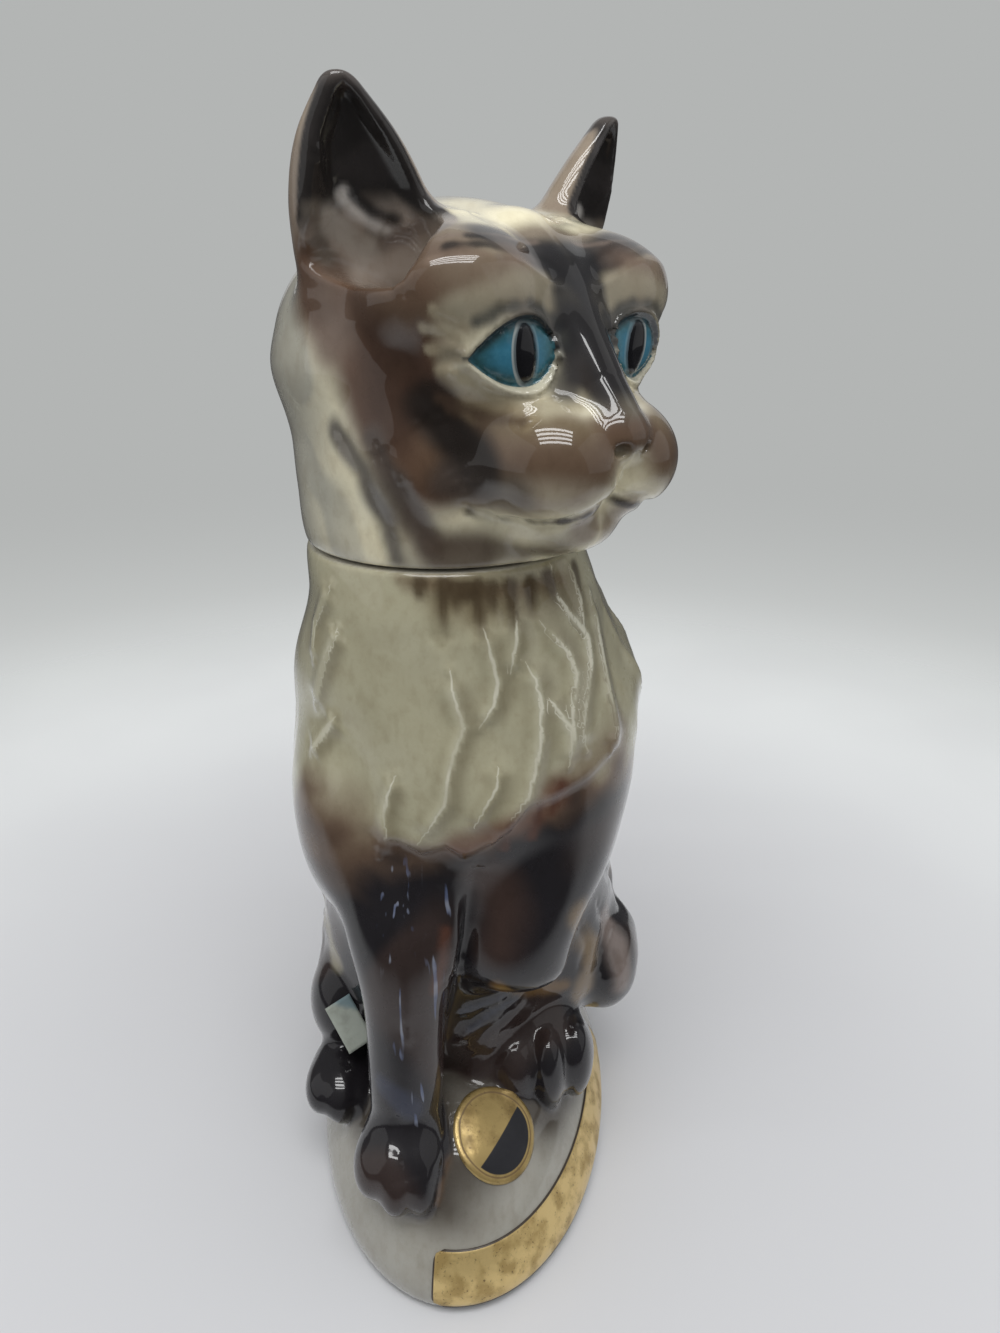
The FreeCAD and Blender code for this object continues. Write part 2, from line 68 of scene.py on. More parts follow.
# The vessel is one hollow slip casting in white china: oval plinth, seated cat and round neck in a piece.
# Fired once, airbrushed in cream, brown and near-black, then dipped in clear glaze and fired again.
MM = 0.001
NECK = next(joint["pos_m"] for joint in frame["joints"] if joint["name"] == "head_turn")
NECK_X, NECK_Y, SHOULDER = (length / MM for length in NECK)
LIP_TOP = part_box("cat_vessel")[1].z / MM
LIP_RADIUS = 19.0
BORE_RADIUS = 13.5
BORE_OPEN_DEPTH = 15.0
BORE_EDGE = 2.0
LIP_ROOT = 8
LIP_EDGE = 2.5
LIP_MELT = 1.5
SHOULDER_RADIUS = 35.4
SHOULDER_EDGE = 1.2
VESSEL_SPACING = 1.1

# Ovals as height, centre x and y, half width and half length, in millimetres as in the solids
PLINTH_OVALS = (
    (0.0, 0, 0, 45, 79),
    (3.0, 0, 0, 46, 80),
    (18.0, 0, 0, 41, 75),
    (27.2, 0, 0, 34.5, 68.5),
    (36.4, 0, 0, 26, 60),
    (41.0, 0, 0, 16, 50),
)
PLINTH_EDGE = 2.5
FOOT_RECESS_OVALS = ((-3.0, 0, 0, 37, 71), (2.5, 0, 0, 36, 70))
RECESS_EDGE = 1.0
FOOT_RING_EDGE = 1.5
TORSO_OVALS = (
    (18.0, 0, 13, 25, 37),
    (37.9, 0, 13, 37, 49),
    (67.2, 0, 10, 41, 49),
    (101.0, 1, 4, 44, 48),
    (131.9, 2.5, -1.5, 47.5, 46.5),
    (156.5, 2.5, -4, 47, 43),
    (178.0, 0.5, -6, 40.5, 38.5),
    (193.5, NECK_X, NECK_Y, 35.7, 35.7),
    (SHOULDER, NECK_X, NECK_Y, SHOULDER_RADIUS, SHOULDER_RADIUS),
)
RIGHT_FORELEG_OVALS = (
    (31.0, -14.3, -54, 9, 9),
    (52.0, -14, -49, 10.3, 11),
    (74.0, -13.7, -45, 11.3, 11.5),
    (100.0, -13.5, -39, 16.5, 14),
    (130.0, -17, -20, 20, 18),
)
LEFT_FORELEG_OVALS = (
    (76.0, 15.5, -37.5, 14, 10),
    (88.0, 16, -37, 15.5, 12.5),
    (104.0, 20, -33, 16, 14),
    (132.0, 24, -17, 17, 16),
)
# Muscles, knees and paws: centre, half sizes and the width over which each melts into the body
LIMBS = {
    "right_haunch": ((-28, 18, 60), (19, 38, 34), 9),
    "left_haunch": ((30, 16, 62), (20, 38, 34), 9),
    "right_knee": ((-37, -9, 45), (11.5, 16, 16), 5),
    "left_knee": ((45, 3, 52), (12.5, 18, 17), 5),
    "right_hind_paw": ((-36.5, -26, 29), (10.5, 15, 9), 4),
    "left_hind_paw": ((20, -25, 39), (20.5, 15, 16), 4),
    "right_shoulder": ((-27, -16, 120), (17.5, 27, 32), 9),
    "left_shoulder": ((28.5, -16, 120), (16, 25, 30), 9),
    "right_forepaw": ((-14.8, -58, 33.5), (12.7, 13, 10.5), 5),
}
# Toes of the right forepaw, the left hind paw and the right hind paw: centre and half sizes
TOES = (
    ((-22.0, -60.5, 31.5), (6.0, 8.5, 8.0)),
    ((-15.5, -64.5, 30.0), (5.6, 8.5, 8.2)),
    ((-9.0, -63.0, 28.5), (5.2, 8.5, 8.0)),
    ((-4.0, -56.0, 31.0), (4.6, 7.0, 7.0)),
    ((6.0, -33.4, 36.5), (8.0, 8.2, 11.5)),
    ((17.0, -35.0, 38.0), (7.2, 8.2, 12.5)),
    ((26.0, -35.0, 39.0), (5.8, 8.0, 13.5)),
    ((34.5, -29.5, 38.5), (5.6, 8.5, 13.0)),
    ((-42.0, -31.0, 28.5), (5.2, 8.0, 7.0)),
    ((-35.5, -33.5, 27.0), (4.8, 8.0, 7.0)),
    ((-29.5, -32.0, 27.5), (4.6, 7.5, 6.6)),
)
TOE_MELT = 2.2
TOES_TOP = 58.0
FORELEGS_MELT = 3
LEG_MELT = 7
PLINTH_MELT = 3
TAIL_PATH = (
    (45, -2, 46),
    (45, 16, 46),
    (41, 33, 46),
    (29, 48, 46),
    (12, 56, 46),
    (-6, 58, 46),
    (-18, 55, 47),
)
TAIL_RADIUS = 9.0
TAIL_TAPER = 0.25
TAIL_MELT = 4


def ellipsoid(points, centre, half):
    """Distance from points to an ellipsoid, negative inside."""
    half = np.array(half, float)
    scaled = (points - np.array(centre, float)) / half
    reach = np.linalg.norm(scaled, axis=1)
    steep = np.linalg.norm(scaled / half, axis=1)
    return (reach - 1) * (reach + 1e-6) / (steep + 1e-6 / half.min())


def melt(first, second, width):
    """Union of two distances whose meeting is filled over a width."""
    share = np.clip(0.5 + 0.5 * (second - first) / width, 0, 1)
    return second + (first - second) * share - width * share * (1 - share)


def carve(body, tool, width):
    """A body with a tool taken out of it and the edge rounded over a width."""
    return -melt(-body, tool, width)


def at_height(height, ovals):
    """Columns of a list of ovals at some heights, on a smooth curve through them."""
    table = np.array(ovals, float)
    levels, columns = table[:, 0], table[:, 1:]
    slope = np.gradient(columns, levels, axis=0)
    below = np.clip(np.searchsorted(levels, height) - 1, 0, len(levels) - 2)
    span = (levels[below + 1] - levels[below])[:, None]
    part = np.clip((height - levels[below])[:, None] / span, 0, 1)
    start = columns[below] * (1 + 2 * part) * (1 - part) ** 2 + slope[below] * span * part * (1 - part) ** 2
    end = columns[below + 1] * (3 - 2 * part) * part**2 + slope[below + 1] * span * (part - 1) * part**2
    return (start + end).T


def stack(points, ovals, edge):
    """Distance to a form lofted through level ovals, with its two flat ends rounded by an edge."""
    x, y, half_x, half_y = at_height(points[:, 2], ovals)
    across = (points[:, 0] - x) / half_x
    along = (points[:, 1] - y) / half_y
    reach = np.hypot(across, along)
    steep = np.hypot(across / half_x, along / half_y)
    side = (reach - 1) * (reach + 1e-6) / (steep + 1e-6 / np.minimum(half_x, half_y))
    ends = np.maximum(ovals[0][0] - points[:, 2], points[:, 2] - ovals[-1][0])
    return -melt(-side, -ends, edge)


def from_path(points, path):
    """Distance from points to a path of straight runs, and the share of the path at the nearest place."""
    path = np.array(path, float)
    nearest = np.full(len(points), np.inf)
    place = np.zeros(len(points))
    for number, (start, end) in enumerate(zip(path[:-1], path[1:])):
        run = end - start
        share = np.clip((points - start) @ run / (run @ run), 0, 1)
        distance = np.linalg.norm(points - start - share[:, None] * run, axis=1)
        closer = distance < nearest
        nearest = np.where(closer, distance, nearest)
        place = np.where(closer, (number + share) / (len(path) - 1), place)
    return nearest, place


def step_up(low, high, number):
    """0 below low, 1 above high and a smooth rise between them; low may be the higher one."""
    share = np.clip((number - low) / (high - low), 0, 1)
    return share * share * (3 - 2 * share)


def ripple(points, size, seed, waves=9):
    """Smooth unevenness from -1 to 1 whose bumps are about one size across."""
    dice = np.random.default_rng(seed)
    total = np.zeros(len(points))
    for _ in range(waves):
        heading = dice.normal(size=3)
        heading *= dice.uniform(0.6, 1.4) * math.pi / (size * np.linalg.norm(heading))
        total += np.sin(points @ heading + dice.uniform(0, 2 * math.pi))
    return np.clip(total / math.sqrt(waves), -1, 1)


def skin(field, low, high, spacing, block=4, detail=3.5, rounds=1):
    """Vertices and quads over the zero level of a field, which is sampled only near that level."""
    low = np.array(low, float)
    blocks = np.ceil((np.array(high) - low) / (spacing * block)).astype(int)
    corners = np.stack(np.meshgrid(*(np.arange(count) for count in blocks), indexing="ij"), -1)
    middles = low + (corners.reshape(-1, 3) * block + (block - 1) / 2) * spacing
    coarse = field(middles).reshape(blocks)
    values = coarse.repeat(block, 0).repeat(block, 1).repeat(block, 2)
    near = np.argwhere(np.abs(coarse) < 0.9 * block * spacing + detail) * block
    offsets = np.array(list(itertools.product(range(block), repeat=3)))
    samples = (near[:, None] + offsets).reshape(-1, 3)
    values[tuple(samples.T)] = field(low + samples * spacing)

    inside = values < 0
    shape = np.array(inside.shape) - 1
    total = np.zeros(shape, int)
    for i, j, k in itertools.product((0, 1), repeat=3):
        total += inside[i : shape[0] + i, j : shape[1] + j, k : shape[2] + k]
    cells = np.argwhere((total > 0) & (total < 8))
    number = np.full(shape, -1)
    number[tuple(cells.T)] = np.arange(len(cells))
    summed = np.zeros(cells.shape)
    hits = np.zeros(len(cells))
    quads = []
    for axis in range(3):
        along = np.eye(3, dtype=int)[axis]
        sides = [np.eye(3, dtype=int)[(axis + turn) % 3] for turn in (1, 2)]
        for i, j in itertools.product((0, 1), repeat=2):
            start = cells + i * sides[0] + j * sides[1]
            first = values[tuple(start.T)]
            second = values[tuple((start + along).T)]
            crossed = (first < 0) != (second < 0)
            share = np.where(crossed, first / np.where(crossed, first - second, 1), 0)
            summed += crossed[:, None] * (i * sides[0] + j * sides[1] + share[:, None] * along)
            hits += crossed
        ahead = np.take(inside, np.arange(1, inside.shape[axis]), axis)
        behind = np.take(inside, np.arange(inside.shape[axis] - 1), axis)
        edges = np.argwhere(ahead != behind)
        edges = edges[(edges[:, (axis + 1) % 3] > 0) & (edges[:, (axis + 2) % 3] > 0)]
        edges = edges[(edges < shape).all(1)]
        ring = [edges, edges - sides[0], edges - sides[0] - sides[1], edges - sides[1]]
        quad = np.stack([number[tuple(corner.T)] for corner in ring], 1)
        leaving = behind[tuple(edges.T)]
        quads.append(np.where(leaving[:, None], quad, quad[:, ::-1]))
    quads = np.concatenate(quads)
    vertices = low + (cells + summed / hits[:, None]) * spacing

    for _ in range(rounds):
        vertices, slope = drawn_to(field, vertices, spacing)
        pull = np.zeros(vertices.shape)
        count = np.zeros(len(vertices))
        for turn in range(4):
            np.add.at(pull, quads[:, turn], vertices[quads[:, turn - 1]] + vertices[quads[:, turn - 3]])
            np.add.at(count, quads[:, turn], 2)
        normal = slope / np.linalg.norm(slope, axis=1)[:, None]
        move = pull / count[:, None] - vertices
        vertices = vertices + 0.5 * (move - (move * normal).sum(1)[:, None] * normal)
    return drawn_to(field, vertices, spacing)[0], quads


def drawn_to(field, points, spacing):
    """Points moved onto the zero level of a field, and the field's slope at each."""
    reach = spacing / 4
    value = field(points)
    slope = np.stack([(field(points + way) - value) / reach for way in np.eye(3) * reach], 1)
    square = np.maximum((slope * slope).sum(1), 0.2)
    return points - slope * np.clip(value / square, -spacing, spacing)[:, None], slope


def piece_from(name, vertices, faces, **colours):
    """A smooth mesh piece from vertices in millimetres, with painted colours or values on its points."""
    mesh = bpy.data.meshes.new(name)
    sides = faces.shape[1]
    mesh.vertices.add(len(vertices))
    mesh.vertices.foreach_set("co", (vertices * MM).astype(np.float32).ravel())
    mesh.loops.add(faces.size)
    mesh.loops.foreach_set("vertex_index", faces.astype(np.int32).ravel())
    mesh.polygons.add(len(faces))
    mesh.polygons.foreach_set("loop_start", np.arange(0, faces.size, sides, dtype=np.int32))
    mesh.polygons.foreach_set("use_smooth", np.ones(len(faces), bool))
    mesh.update(calc_edges=True)
    for label, values in colours.items():
        if values.ndim == 2:
            attribute = mesh.attributes.new(label, "FLOAT_COLOR", "POINT")
            opaque = np.concatenate([values, np.ones((len(values), 1))], 1)
            attribute.data.foreach_set("color", opaque.astype(np.float32).ravel())
        else:
            attribute = mesh.attributes.new(label, "FLOAT", "POINT")
            attribute.data.foreach_set("value", values.astype(np.float32))
    piece = bpy.data.objects.new(name, mesh)
    bpy.context.scene.collection.objects.link(piece)
    return piece


def cast(field, starts, rays):
    """Places where rays from starts first meet a field; a ray that misses stops where it comes closest."""
    travel = np.zeros(len(starts))
    best = travel.copy()
    closest = np.full(len(starts), np.inf)
    for _ in range(160):
        gap = field(starts + rays * travel[:, None])
        better = gap < closest - 1e-3
        best = np.where(better & (closest > 0.05), travel, best)
        closest = np.where(better, gap, closest)
        travel = travel + np.clip(0.7 * gap, 0.03, 8)
    return starts + rays * best[:, None]


def traced(field, strokes):
    """For each stroke of pixels, its path in millimetres where the camera sees it on a field."""
    pixels = np.concatenate([np.array(stroke, float) for stroke in strokes])
    forward = np.array((0, math.cos(CAMERA_PITCH), -math.sin(CAMERA_PITCH)))
    upward = np.array((0, math.sin(CAMERA_PITCH), math.cos(CAMERA_PITCH)))
    rays = forward * FOCAL_PIXELS + (pixels[:, :1] - PICTURE_WIDTH / 2) * np.array((1, 0, 0))
    rays = rays + (PICTURE_HEIGHT / 2 - pixels[:, 1:]) * upward
    rays /= np.linalg.norm(rays, axis=1)[:, None]
    seen = cast(field, np.array(CAMERA_PLACE) / MM + 100 * rays, rays)
    return np.split(seen, np.cumsum([len(stroke) for stroke in strokes])[:-1])


def pixels_of(strokes):
    """The pixels of each stroke, without its other numbers."""
    return [stroke[0] for stroke in strokes]


def plinth_field(points):
    """Distance to the oval plinth with the recess under its foot."""
    plain = stack(points, PLINTH_OVALS, PLINTH_EDGE)
    return carve(plain, stack(points, FOOT_RECESS_OVALS, RECESS_EDGE), FOOT_RING_EDGE)


def around_torso(points):
    """Angle about the torso from its front, positive to the cat's left."""
    x, y, _, _ = at_height(points[:, 2], TORSO_OVALS)
    return np.arctan2(points[:, 0] - x, y - points[:, 1])


FUR_RIDGES = 26
FUR_HEIGHT = 0.9
FUR_FADE = (70, 125)
RUFF_FADE = (100, 140)
RUFF_HEIGHT = 0.6
RUFF_SIDE_HEIGHT = 0.7
SHAG_HEIGHT = 0.9
SHAG_TOP = (92, 70)
SHAG_FOOT = (30, 36)
SHAG_FRONT = (-12, 4)
BIB_STEP = 1.5
BIB_FADE = (178, 132)
# Angle from the front and height of the ragged lower edge of the chest fur
BIB_EDGE = (
    (-1.1, 137), (-0.6, 130), (-0.32, 127), (-0.2, 124), (-0.08, 127), (0.02, 123.5),
    (0.14, 127), (0.24, 131), (0.34, 137), (0.5, 138), (0.7, 141), (1.0, 147),
)


def bib_edge(angle):
    """Height of the ragged lower edge of the chest fur, which climbs to the cat's left."""
    angles, heights = np.array(BIB_EDGE, float).T
    return np.interp(angle, angles, heights)


def fur(points):
    """Height of the combed fur round the torso: wavy ridges between shallow flutes, plain in front."""
    angle = around_torso(points)
    height = points[:, 2]
    sway = 0.32 * np.sin(height / 17 + 2 * angle) + 0.2 * np.sin(height / 8.3 + 5 * angle + 1)
    lock = angle * FUR_RIDGES / (2 * math.pi) + sway + 0.35 * ripple(points, 26, 3)
    ridge = 1 - np.abs(np.sin(math.pi * lock))
    strong = np.clip(0.45 + 0.7 * ripple(points, 34, 5), 0.05, 1) * step_up(0.9, 1.5, np.abs(angle - 0.05))
    fade = step_up(*FUR_FADE, height) * step_up(SHOULDER + 4, SHOULDER - 6, height)
    return fade * strong * (ridge**1.5 - 0.4)


# The carving of the coat: pixels along each lock or groove, its height (below 0 for a groove) and its width
CHEST_LOCKS = (
    (((396, 776), (389, 795), (385, 817), (387, 834), (379, 856)), 1.7, 1.6),
    (
        ((450, 671), (454, 696), (464, 727), (454, 754), (448, 778), (446, 802), (435, 819), (418, 843)),
        1.9, 1.7,
    ),
    (((484, 630), (491, 657), (497, 681), (494, 703), (480, 727)), 1.7, 1.6),
    (((515, 616), (515, 642), (510, 671)), 1.7, 1.4),
    (
        ((525, 664), (535, 681), (540, 705), (540, 739), (532, 778), (527, 797), (508, 824), (493, 841)),
        2.0, 1.9,
    ),
    (((539, 623), (566, 652), (574, 674), (570, 710), (571, 739), (568, 766)), 1.9, 1.7),
    (
        ((549, 565), (551, 592), (568, 616), (585, 638), (588, 664), (583, 705), (580, 730), (586, 751)),
        2.0, 1.9,
    ),
    (((568, 566), (578, 596), (580, 628)), 1.4, 1.3),
    (((588, 591), (600, 657), (607, 693), (615, 730), (610, 751)), 1.9, 1.9),
    (((549, 700), (568, 727)), 1.4, 1.3),
    (((498, 768), (496, 788), (486, 805), (474, 826)), 1.4, 1.3),
    (((331, 587), (317, 623), (315, 659)), 1.7, 1.7),
    (((339, 630), (328, 657), (317, 705)), 1.9, 1.9),
    (((337, 717), (313, 751)), 1.7, 2.0),
)
COLLAR_GROOVES = (
    (((441, 594), (441, 645)), -1.5, 1.3),
    (((475, 594), (476, 630)), -1.4, 1.2),
    (((505, 606), (509, 630)), -1.0, 1.2),
    (((530, 582), (533, 618)), -1.2, 1.2),
)
HIND_FOOT_HAIR = (
    (((462, 1014), (482, 1005), (504, 996)), 0.9, 1.4),
    (((466, 1034), (492, 1013), (518, 998)), 0.9, 1.4),
    (((474, 1050), (498, 1028), (520, 1010)), 0.8, 1.4),
    (((457, 1042), (480, 1024), (500, 1014)), 0.9, 1.3),
    (((470, 1068), (490, 1046), (508, 1034)), 0.9, 1.3),
    (((484, 1084), (500, 1062), (514, 1050)), 0.8, 1.3),
)
LEG_FOLDS = (
    (((398, 1120), (404, 1150), (412, 1186)), -1.4, 2.0),
    (((440, 870), (452, 900), (456, 940), (446, 985)), 1.5, 1.7),
    (((410, 862), (404, 900), (402, 960), (408, 1040)), 1.2, 1.9),
    (((480, 862), (474, 892), (467, 925), (461, 968)), -2.4, 1.5),
    (((598, 905), (606, 925), (600, 950), (604, 975)), -1.2, 1.6),
    (((618, 925), (612, 948), (618, 972)), -1.2, 1.6),
    (((580, 925), (588, 945), (580, 968)), -1.0, 1.4),
)


def relief(points, strokes):
    """Height of modelled strokes: a rounded crest that falls away on concave sides and ends in points."""
    total = np.zeros(len(points))
    for path, height, width in strokes:
        middle = (path.max(0) + path.min(0)) / 2
        reach = (path.max(0) - path.min(0)) / 2 + 4 * width
        near = np.flatnonzero((np.abs(points - middle) < reach).all(1))
        distance, share = from_path(points[near], path)
        ends = step_up(0, 0.12, share) * step_up(1, 0.88, share)
        crest = np.exp(-(np.hypot(distance, 0.3) - 0.3) / width)
        total[near] += height * crest * np.maximum(ends, np.exp(-distance))
    return total


def figure_field(points):
    """Distance to the cat without its plinth."""
    angle = around_torso(points)
    height = points[:, 2]
    torso = stack(points, TORSO_OVALS, 1.5)
    ruff = step_up(*RUFF_FADE, height) * step_up(SHOULDER, SHOULDER - 14, height)
    ruff = ruff * (RUFF_HEIGHT + RUFF_SIDE_HEIGHT * step_up(0.7, 1.1, np.abs(angle)))
    torso = torso - FUR_HEIGHT * fur(points) - ruff * ripple(points, 20, 8)
    legs = melt(stack(points, RIGHT_FORELEG_OVALS, 8), stack(points, LEFT_FORELEG_OVALS, 9), FORELEGS_MELT)
    for name, (centre, half, width) in LIMBS.items():
        form = ellipsoid(points, centre, half)
        if name == "right_forepaw":
            legs = melt(legs, form, width)
        else:
            torso = melt(torso, form, width)
    front = step_up(-0.62, -0.3, angle) * step_up(1.1, 0.7, angle)
    bib = front * step_up(-2.2, 1.6, height - bib_edge(angle)) * step_up(*BIB_FADE, height)
    figure = melt(torso, legs, LEG_MELT) - BIB_STEP * bib
    low = np.flatnonzero(height < TOES_TOP)
    for centre, half in TOES:
        figure[low] = melt(figure[low], ellipsoid(points[low], centre, half), TOE_MELT)
    distance, share = from_path(points, TAIL_PATH)
    figure = melt(figure, distance - TAIL_RADIUS * (1 - TAIL_TAPER * share), TAIL_MELT)
    shaggy = step_up(*SHAG_FRONT, points[:, 1]) * step_up(*SHAG_TOP, height) * step_up(*SHAG_FOOT, height)
    return figure - SHAG_HEIGHT * shaggy * np.sin(3 * ripple(points, 11, 12))


def carved(strokes):
    """Strokes of carving with their pixels turned into paths on the figure."""
    paths = traced(figure_field, pixels_of(strokes))
    return [(path, height, width) for path, (_, height, width) in zip(paths, strokes)]


chest_locks = carved(CHEST_LOCKS)
carving = chest_locks + carved(COLLAR_GROOVES + HIND_FOOT_HAIR + LEG_FOLDS)


def vessel_field(points):
    """Distance to the outside of the vessel, with the open lip and the first part of the bore."""
    whole = figure_field(points) - relief(points, carving)
    whole = melt(whole, plinth_field(points), PLINTH_MELT)
    whole = np.maximum(whole, -points[:, 2])
    whole = carve(whole, SHOULDER - points[:, 2], SHOULDER_EDGE)
    from_axis = np.hypot(points[:, 0] - NECK_X, points[:, 1] - NECK_Y)
    lip_ends = np.minimum(LIP_TOP - points[:, 2], points[:, 2] - SHOULDER + LIP_ROOT)
    lip = -melt(LIP_RADIUS - from_axis, lip_ends, LIP_EDGE)
    whole = melt(whole, lip, LIP_MELT)
    bore = np.maximum(from_axis - BORE_RADIUS, LIP_TOP - BORE_OPEN_DEPTH - points[:, 2])
    return carve(whole, bore, BORE_EDGE)


low, high = (np.array(corner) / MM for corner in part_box("cat_vessel"))
vertices, quads = skin(vessel_field, low - 4, high + 4, VESSEL_SPACING)


def srgb(red, green, blue):
    """A colour as a painter's 0 to 255 numbers, made linear."""
    share = np.array((red, green, blue)) / 255
    return np.where(share <= 0.04045, share / 12.92, ((share + 0.055) / 1.055) ** 2.4)


def lay(paint, colour, cover):
    """Paint with a colour laid over it."""
    return paint + (srgb(*colour) - paint) * np.clip(cover, 0, 1)[:, None]


def brushed(paint, points, strokes, paths, seed):
    """Paint with soft-edged strokes laid over it, each of pixels, colour, radius, softness and cover."""
    for number, (path, (_, tint, radius, soft, cover)) in enumerate(zip(paths, strokes)):
        distance, _ = from_path(points, path)
        wander = 0.3 * radius * ripple(points, 2.0 * radius, seed + number)
        paint = lay(paint, tint, cover * step_up(radius + soft, radius - soft, distance + wander))
    return paint


CREAM = (172, 168, 142)
PORCELAIN_IN_SHADE = (154, 152, 143)
BISQUE = (206, 203, 192)
TAN = (106, 86, 70)
DARK = (30, 28, 31)
OLIVE = (74, 61, 43)
FLANK_SHADE = (138, 132, 106)
PALE_AND_HIGHLIGHT = (196, 194, 174)
SHADE = (66, 60, 53)
LEE_SHADE = (114, 106, 83)
LEG_BROWN = (64, 50, 44)
TAIL_BROWN = (56, 47, 44)
figure_gap = figure_field(vertices)
plinth_gap = plinth_field(vertices)
tone_noise = ripple(vertices, 14, 21)
fine_noise = ripple(vertices, 5, 22)
paint = np.tile(srgb(*CREAM), (len(vertices), 1))
# A random paler tone; then painted shade on the flanks of the combed locks and in the flutes between them,
# and a painted highlight along their crests
paint = lay(paint, PALE_AND_HIGHLIGHT, 0.2 * step_up(-0.2, 1, tone_noise))
combed = fur(vertices) + relief(vertices, carving)
paint = lay(paint, FLANK_SHADE, 0.3 * step_up(0.1, 0.35, combed) * step_up(0.9, 0.5, combed))
paint = lay(paint, PALE_AND_HIGHLIGHT, 0.85 * step_up(0.8, 1.5, combed))
paint = lay(paint, FLANK_SHADE, 0.55 * step_up(-0.05, -0.5, combed))
# Brush strokes: pixels along each, colour, radius and softness in millimetres, and cover
COLLAR_STROKES = (
    (((446, 592), (480, 600), (520, 598), (562, 584)), (120, 107, 80), 6.0, 5.0, 0.7),
    (((400, 580), (440, 586), (500, 592), (560, 580)), (104, 86, 64), 1.6, 1.8, 0.75),
)
paint = brushed(paint, vertices, COLLAR_STROKES, traced(vessel_field, pixels_of(COLLAR_STROKES)), 40)
# Streaks of the collar, which thin out downwards
COLLAR_RUNS = (
    ((444, 584), (443, 612), (447, 650)),
    ((456, 588), (457, 622)),
    ((466, 588), (468, 612)),
    ((478, 586), (480, 620), (489, 664)),
    ((492, 588), (494, 622)),
    ((510, 586), (514, 614), (511, 654)),
    ((530, 582), (535, 622)),
    ((548, 576), (557, 612)),
    ((575, 567), (583, 604)),
    ((420, 584), (418, 606)),
)
COLLAR_WIDTH = 1.6
for path in traced(vessel_field, COLLAR_RUNS):
    distance, share = from_path(vertices, path)
    width = COLLAR_WIDTH * (1 - 0.8 * share)
    paint = lay(paint, OLIVE, 0.85 * step_up(width + 1.2, width - 0.6, distance) * step_up(1.0, 0.4, share))
# Angle from the front and height where the dark of the legs begins
SOCK_EDGE = (
    (-3.15, 30), (-2.3, 40), (-1.7, 62), (-1.35, 100), (-0.95, 132), (-0.6, 129), (-0.2, 126), (0.15, 127),
    (0.36, 135), (0.67, 141), (1.0, 146), (1.35, 122), (1.7, 84), (2.3, 44), (3.15, 30),
)
sock = np.interp(around_torso(vertices), *np.array(SOCK_EDGE, float).T)
drop = sock - vertices[:, 2] + 4 * tone_noise + 2 * fine_noise
fade = 1 + 0.9 * step_up(-0.25, -0.65, around_torso(vertices))
paint = lay(paint, TAN, step_up(-10, 4, drop / fade))
paint = lay(paint, DARK, step_up(-2, 12, drop / fade))
paint = lay(paint, LEG_BROWN, 0.5 * step_up(0.1, 0.8, ripple(vertices, 20, 31)) * step_up(8, 20, drop))
tail_gap, tail_share = from_path(vertices, TAIL_PATH)
tail_dark = step_up(11.5, 9.0, tail_gap + 0.8 * fine_noise) * step_up(0.15, 0.45, tail_share)
paint = lay(paint, TAIL_BROWN, 0.9 * tail_dark)
GOLDEN = (118, 90, 52)
RUSSET = (84, 54, 42)
LEG_STROKES = (
    (((500, 988), (530, 992), (566, 986)), GOLDEN, 2.2, 1.6, 0.75),
    (((578, 915), (590, 950), (584, 990)), (122, 102, 72), 4.0, 2.6, 0.85),
    (((606, 915), (620, 945), (622, 985)), (138, 126, 120), 4.0, 3.0, 0.8),
    (((325, 905), (328, 930), (336, 960)), (150, 144, 122), 3.0, 2.4, 0.8),
    (((446, 930), (442, 960), (436, 990)), RUSSET, 1.4, 1.2, 0.8),
    (((462, 846), (500, 836), (530, 818), (556, 796)), (112, 82, 66), 3.6, 3.4, 0.75),
    (((562, 784), (552, 812)), RUSSET, 1.2, 1.0, 0.85),
    (((540, 808), (532, 836)), RUSSET, 1.2, 1.0, 0.85),
    (((512, 826), (504, 848)), RUSSET, 1.2, 1.0, 0.75),
    (((492, 885), (500, 915), (500, 950)), (72, 54, 46), 6.0, 5.0, 0.6),
    # Painted highlight on the top of the right forepaw
    (((380, 1085), (400, 1100), (412, 1110)), (48, 54, 74), 2.6, 2.0, 0.6),
    (((452, 1160), (446, 1185), (440, 1200)), (104, 80, 58), 1.6, 1.2, 0.7),
    # Painted highlights along the hair of the left hind foot
    (((462, 1012), (482, 1004), (503, 996)), (66, 70, 82), 0.8, 0.7, 0.6),
    (((468, 1032), (492, 1012), (516, 998)), (66, 70, 82), 0.8, 0.7, 0.6),
)
paint = brushed(paint, vertices, LEG_STROKES, traced(vessel_field, pixels_of(LEG_STROKES)), 90)
# The plinth: its white china painted grey for the shade it stands in
base = step_up(1.5, -1.5, plinth_gap - figure_gap)
foot_shade = 0.95 * step_up(20, 2, figure_gap + 3 * tone_noise) * step_up(16, 27, vertices[:, 2])
white = lay(np.tile(srgb(*PORCELAIN_IN_SHADE), (len(vertices), 1)), SHADE, foot_shade)
paint = paint + (white - paint) * base[:, None]
neck_gap = np.hypot(vertices[:, 0] - NECK_X, vertices[:, 1] - NECK_Y)
bare = step_up(SHOULDER_RADIUS + 0.1, SHOULDER_RADIUS - 0.9, neck_gap)
bare = bare * step_up(SHOULDER - 0.8, SHOULDER - 0.2, vertices[:, 2])
paint = lay(paint, BISQUE, bare)
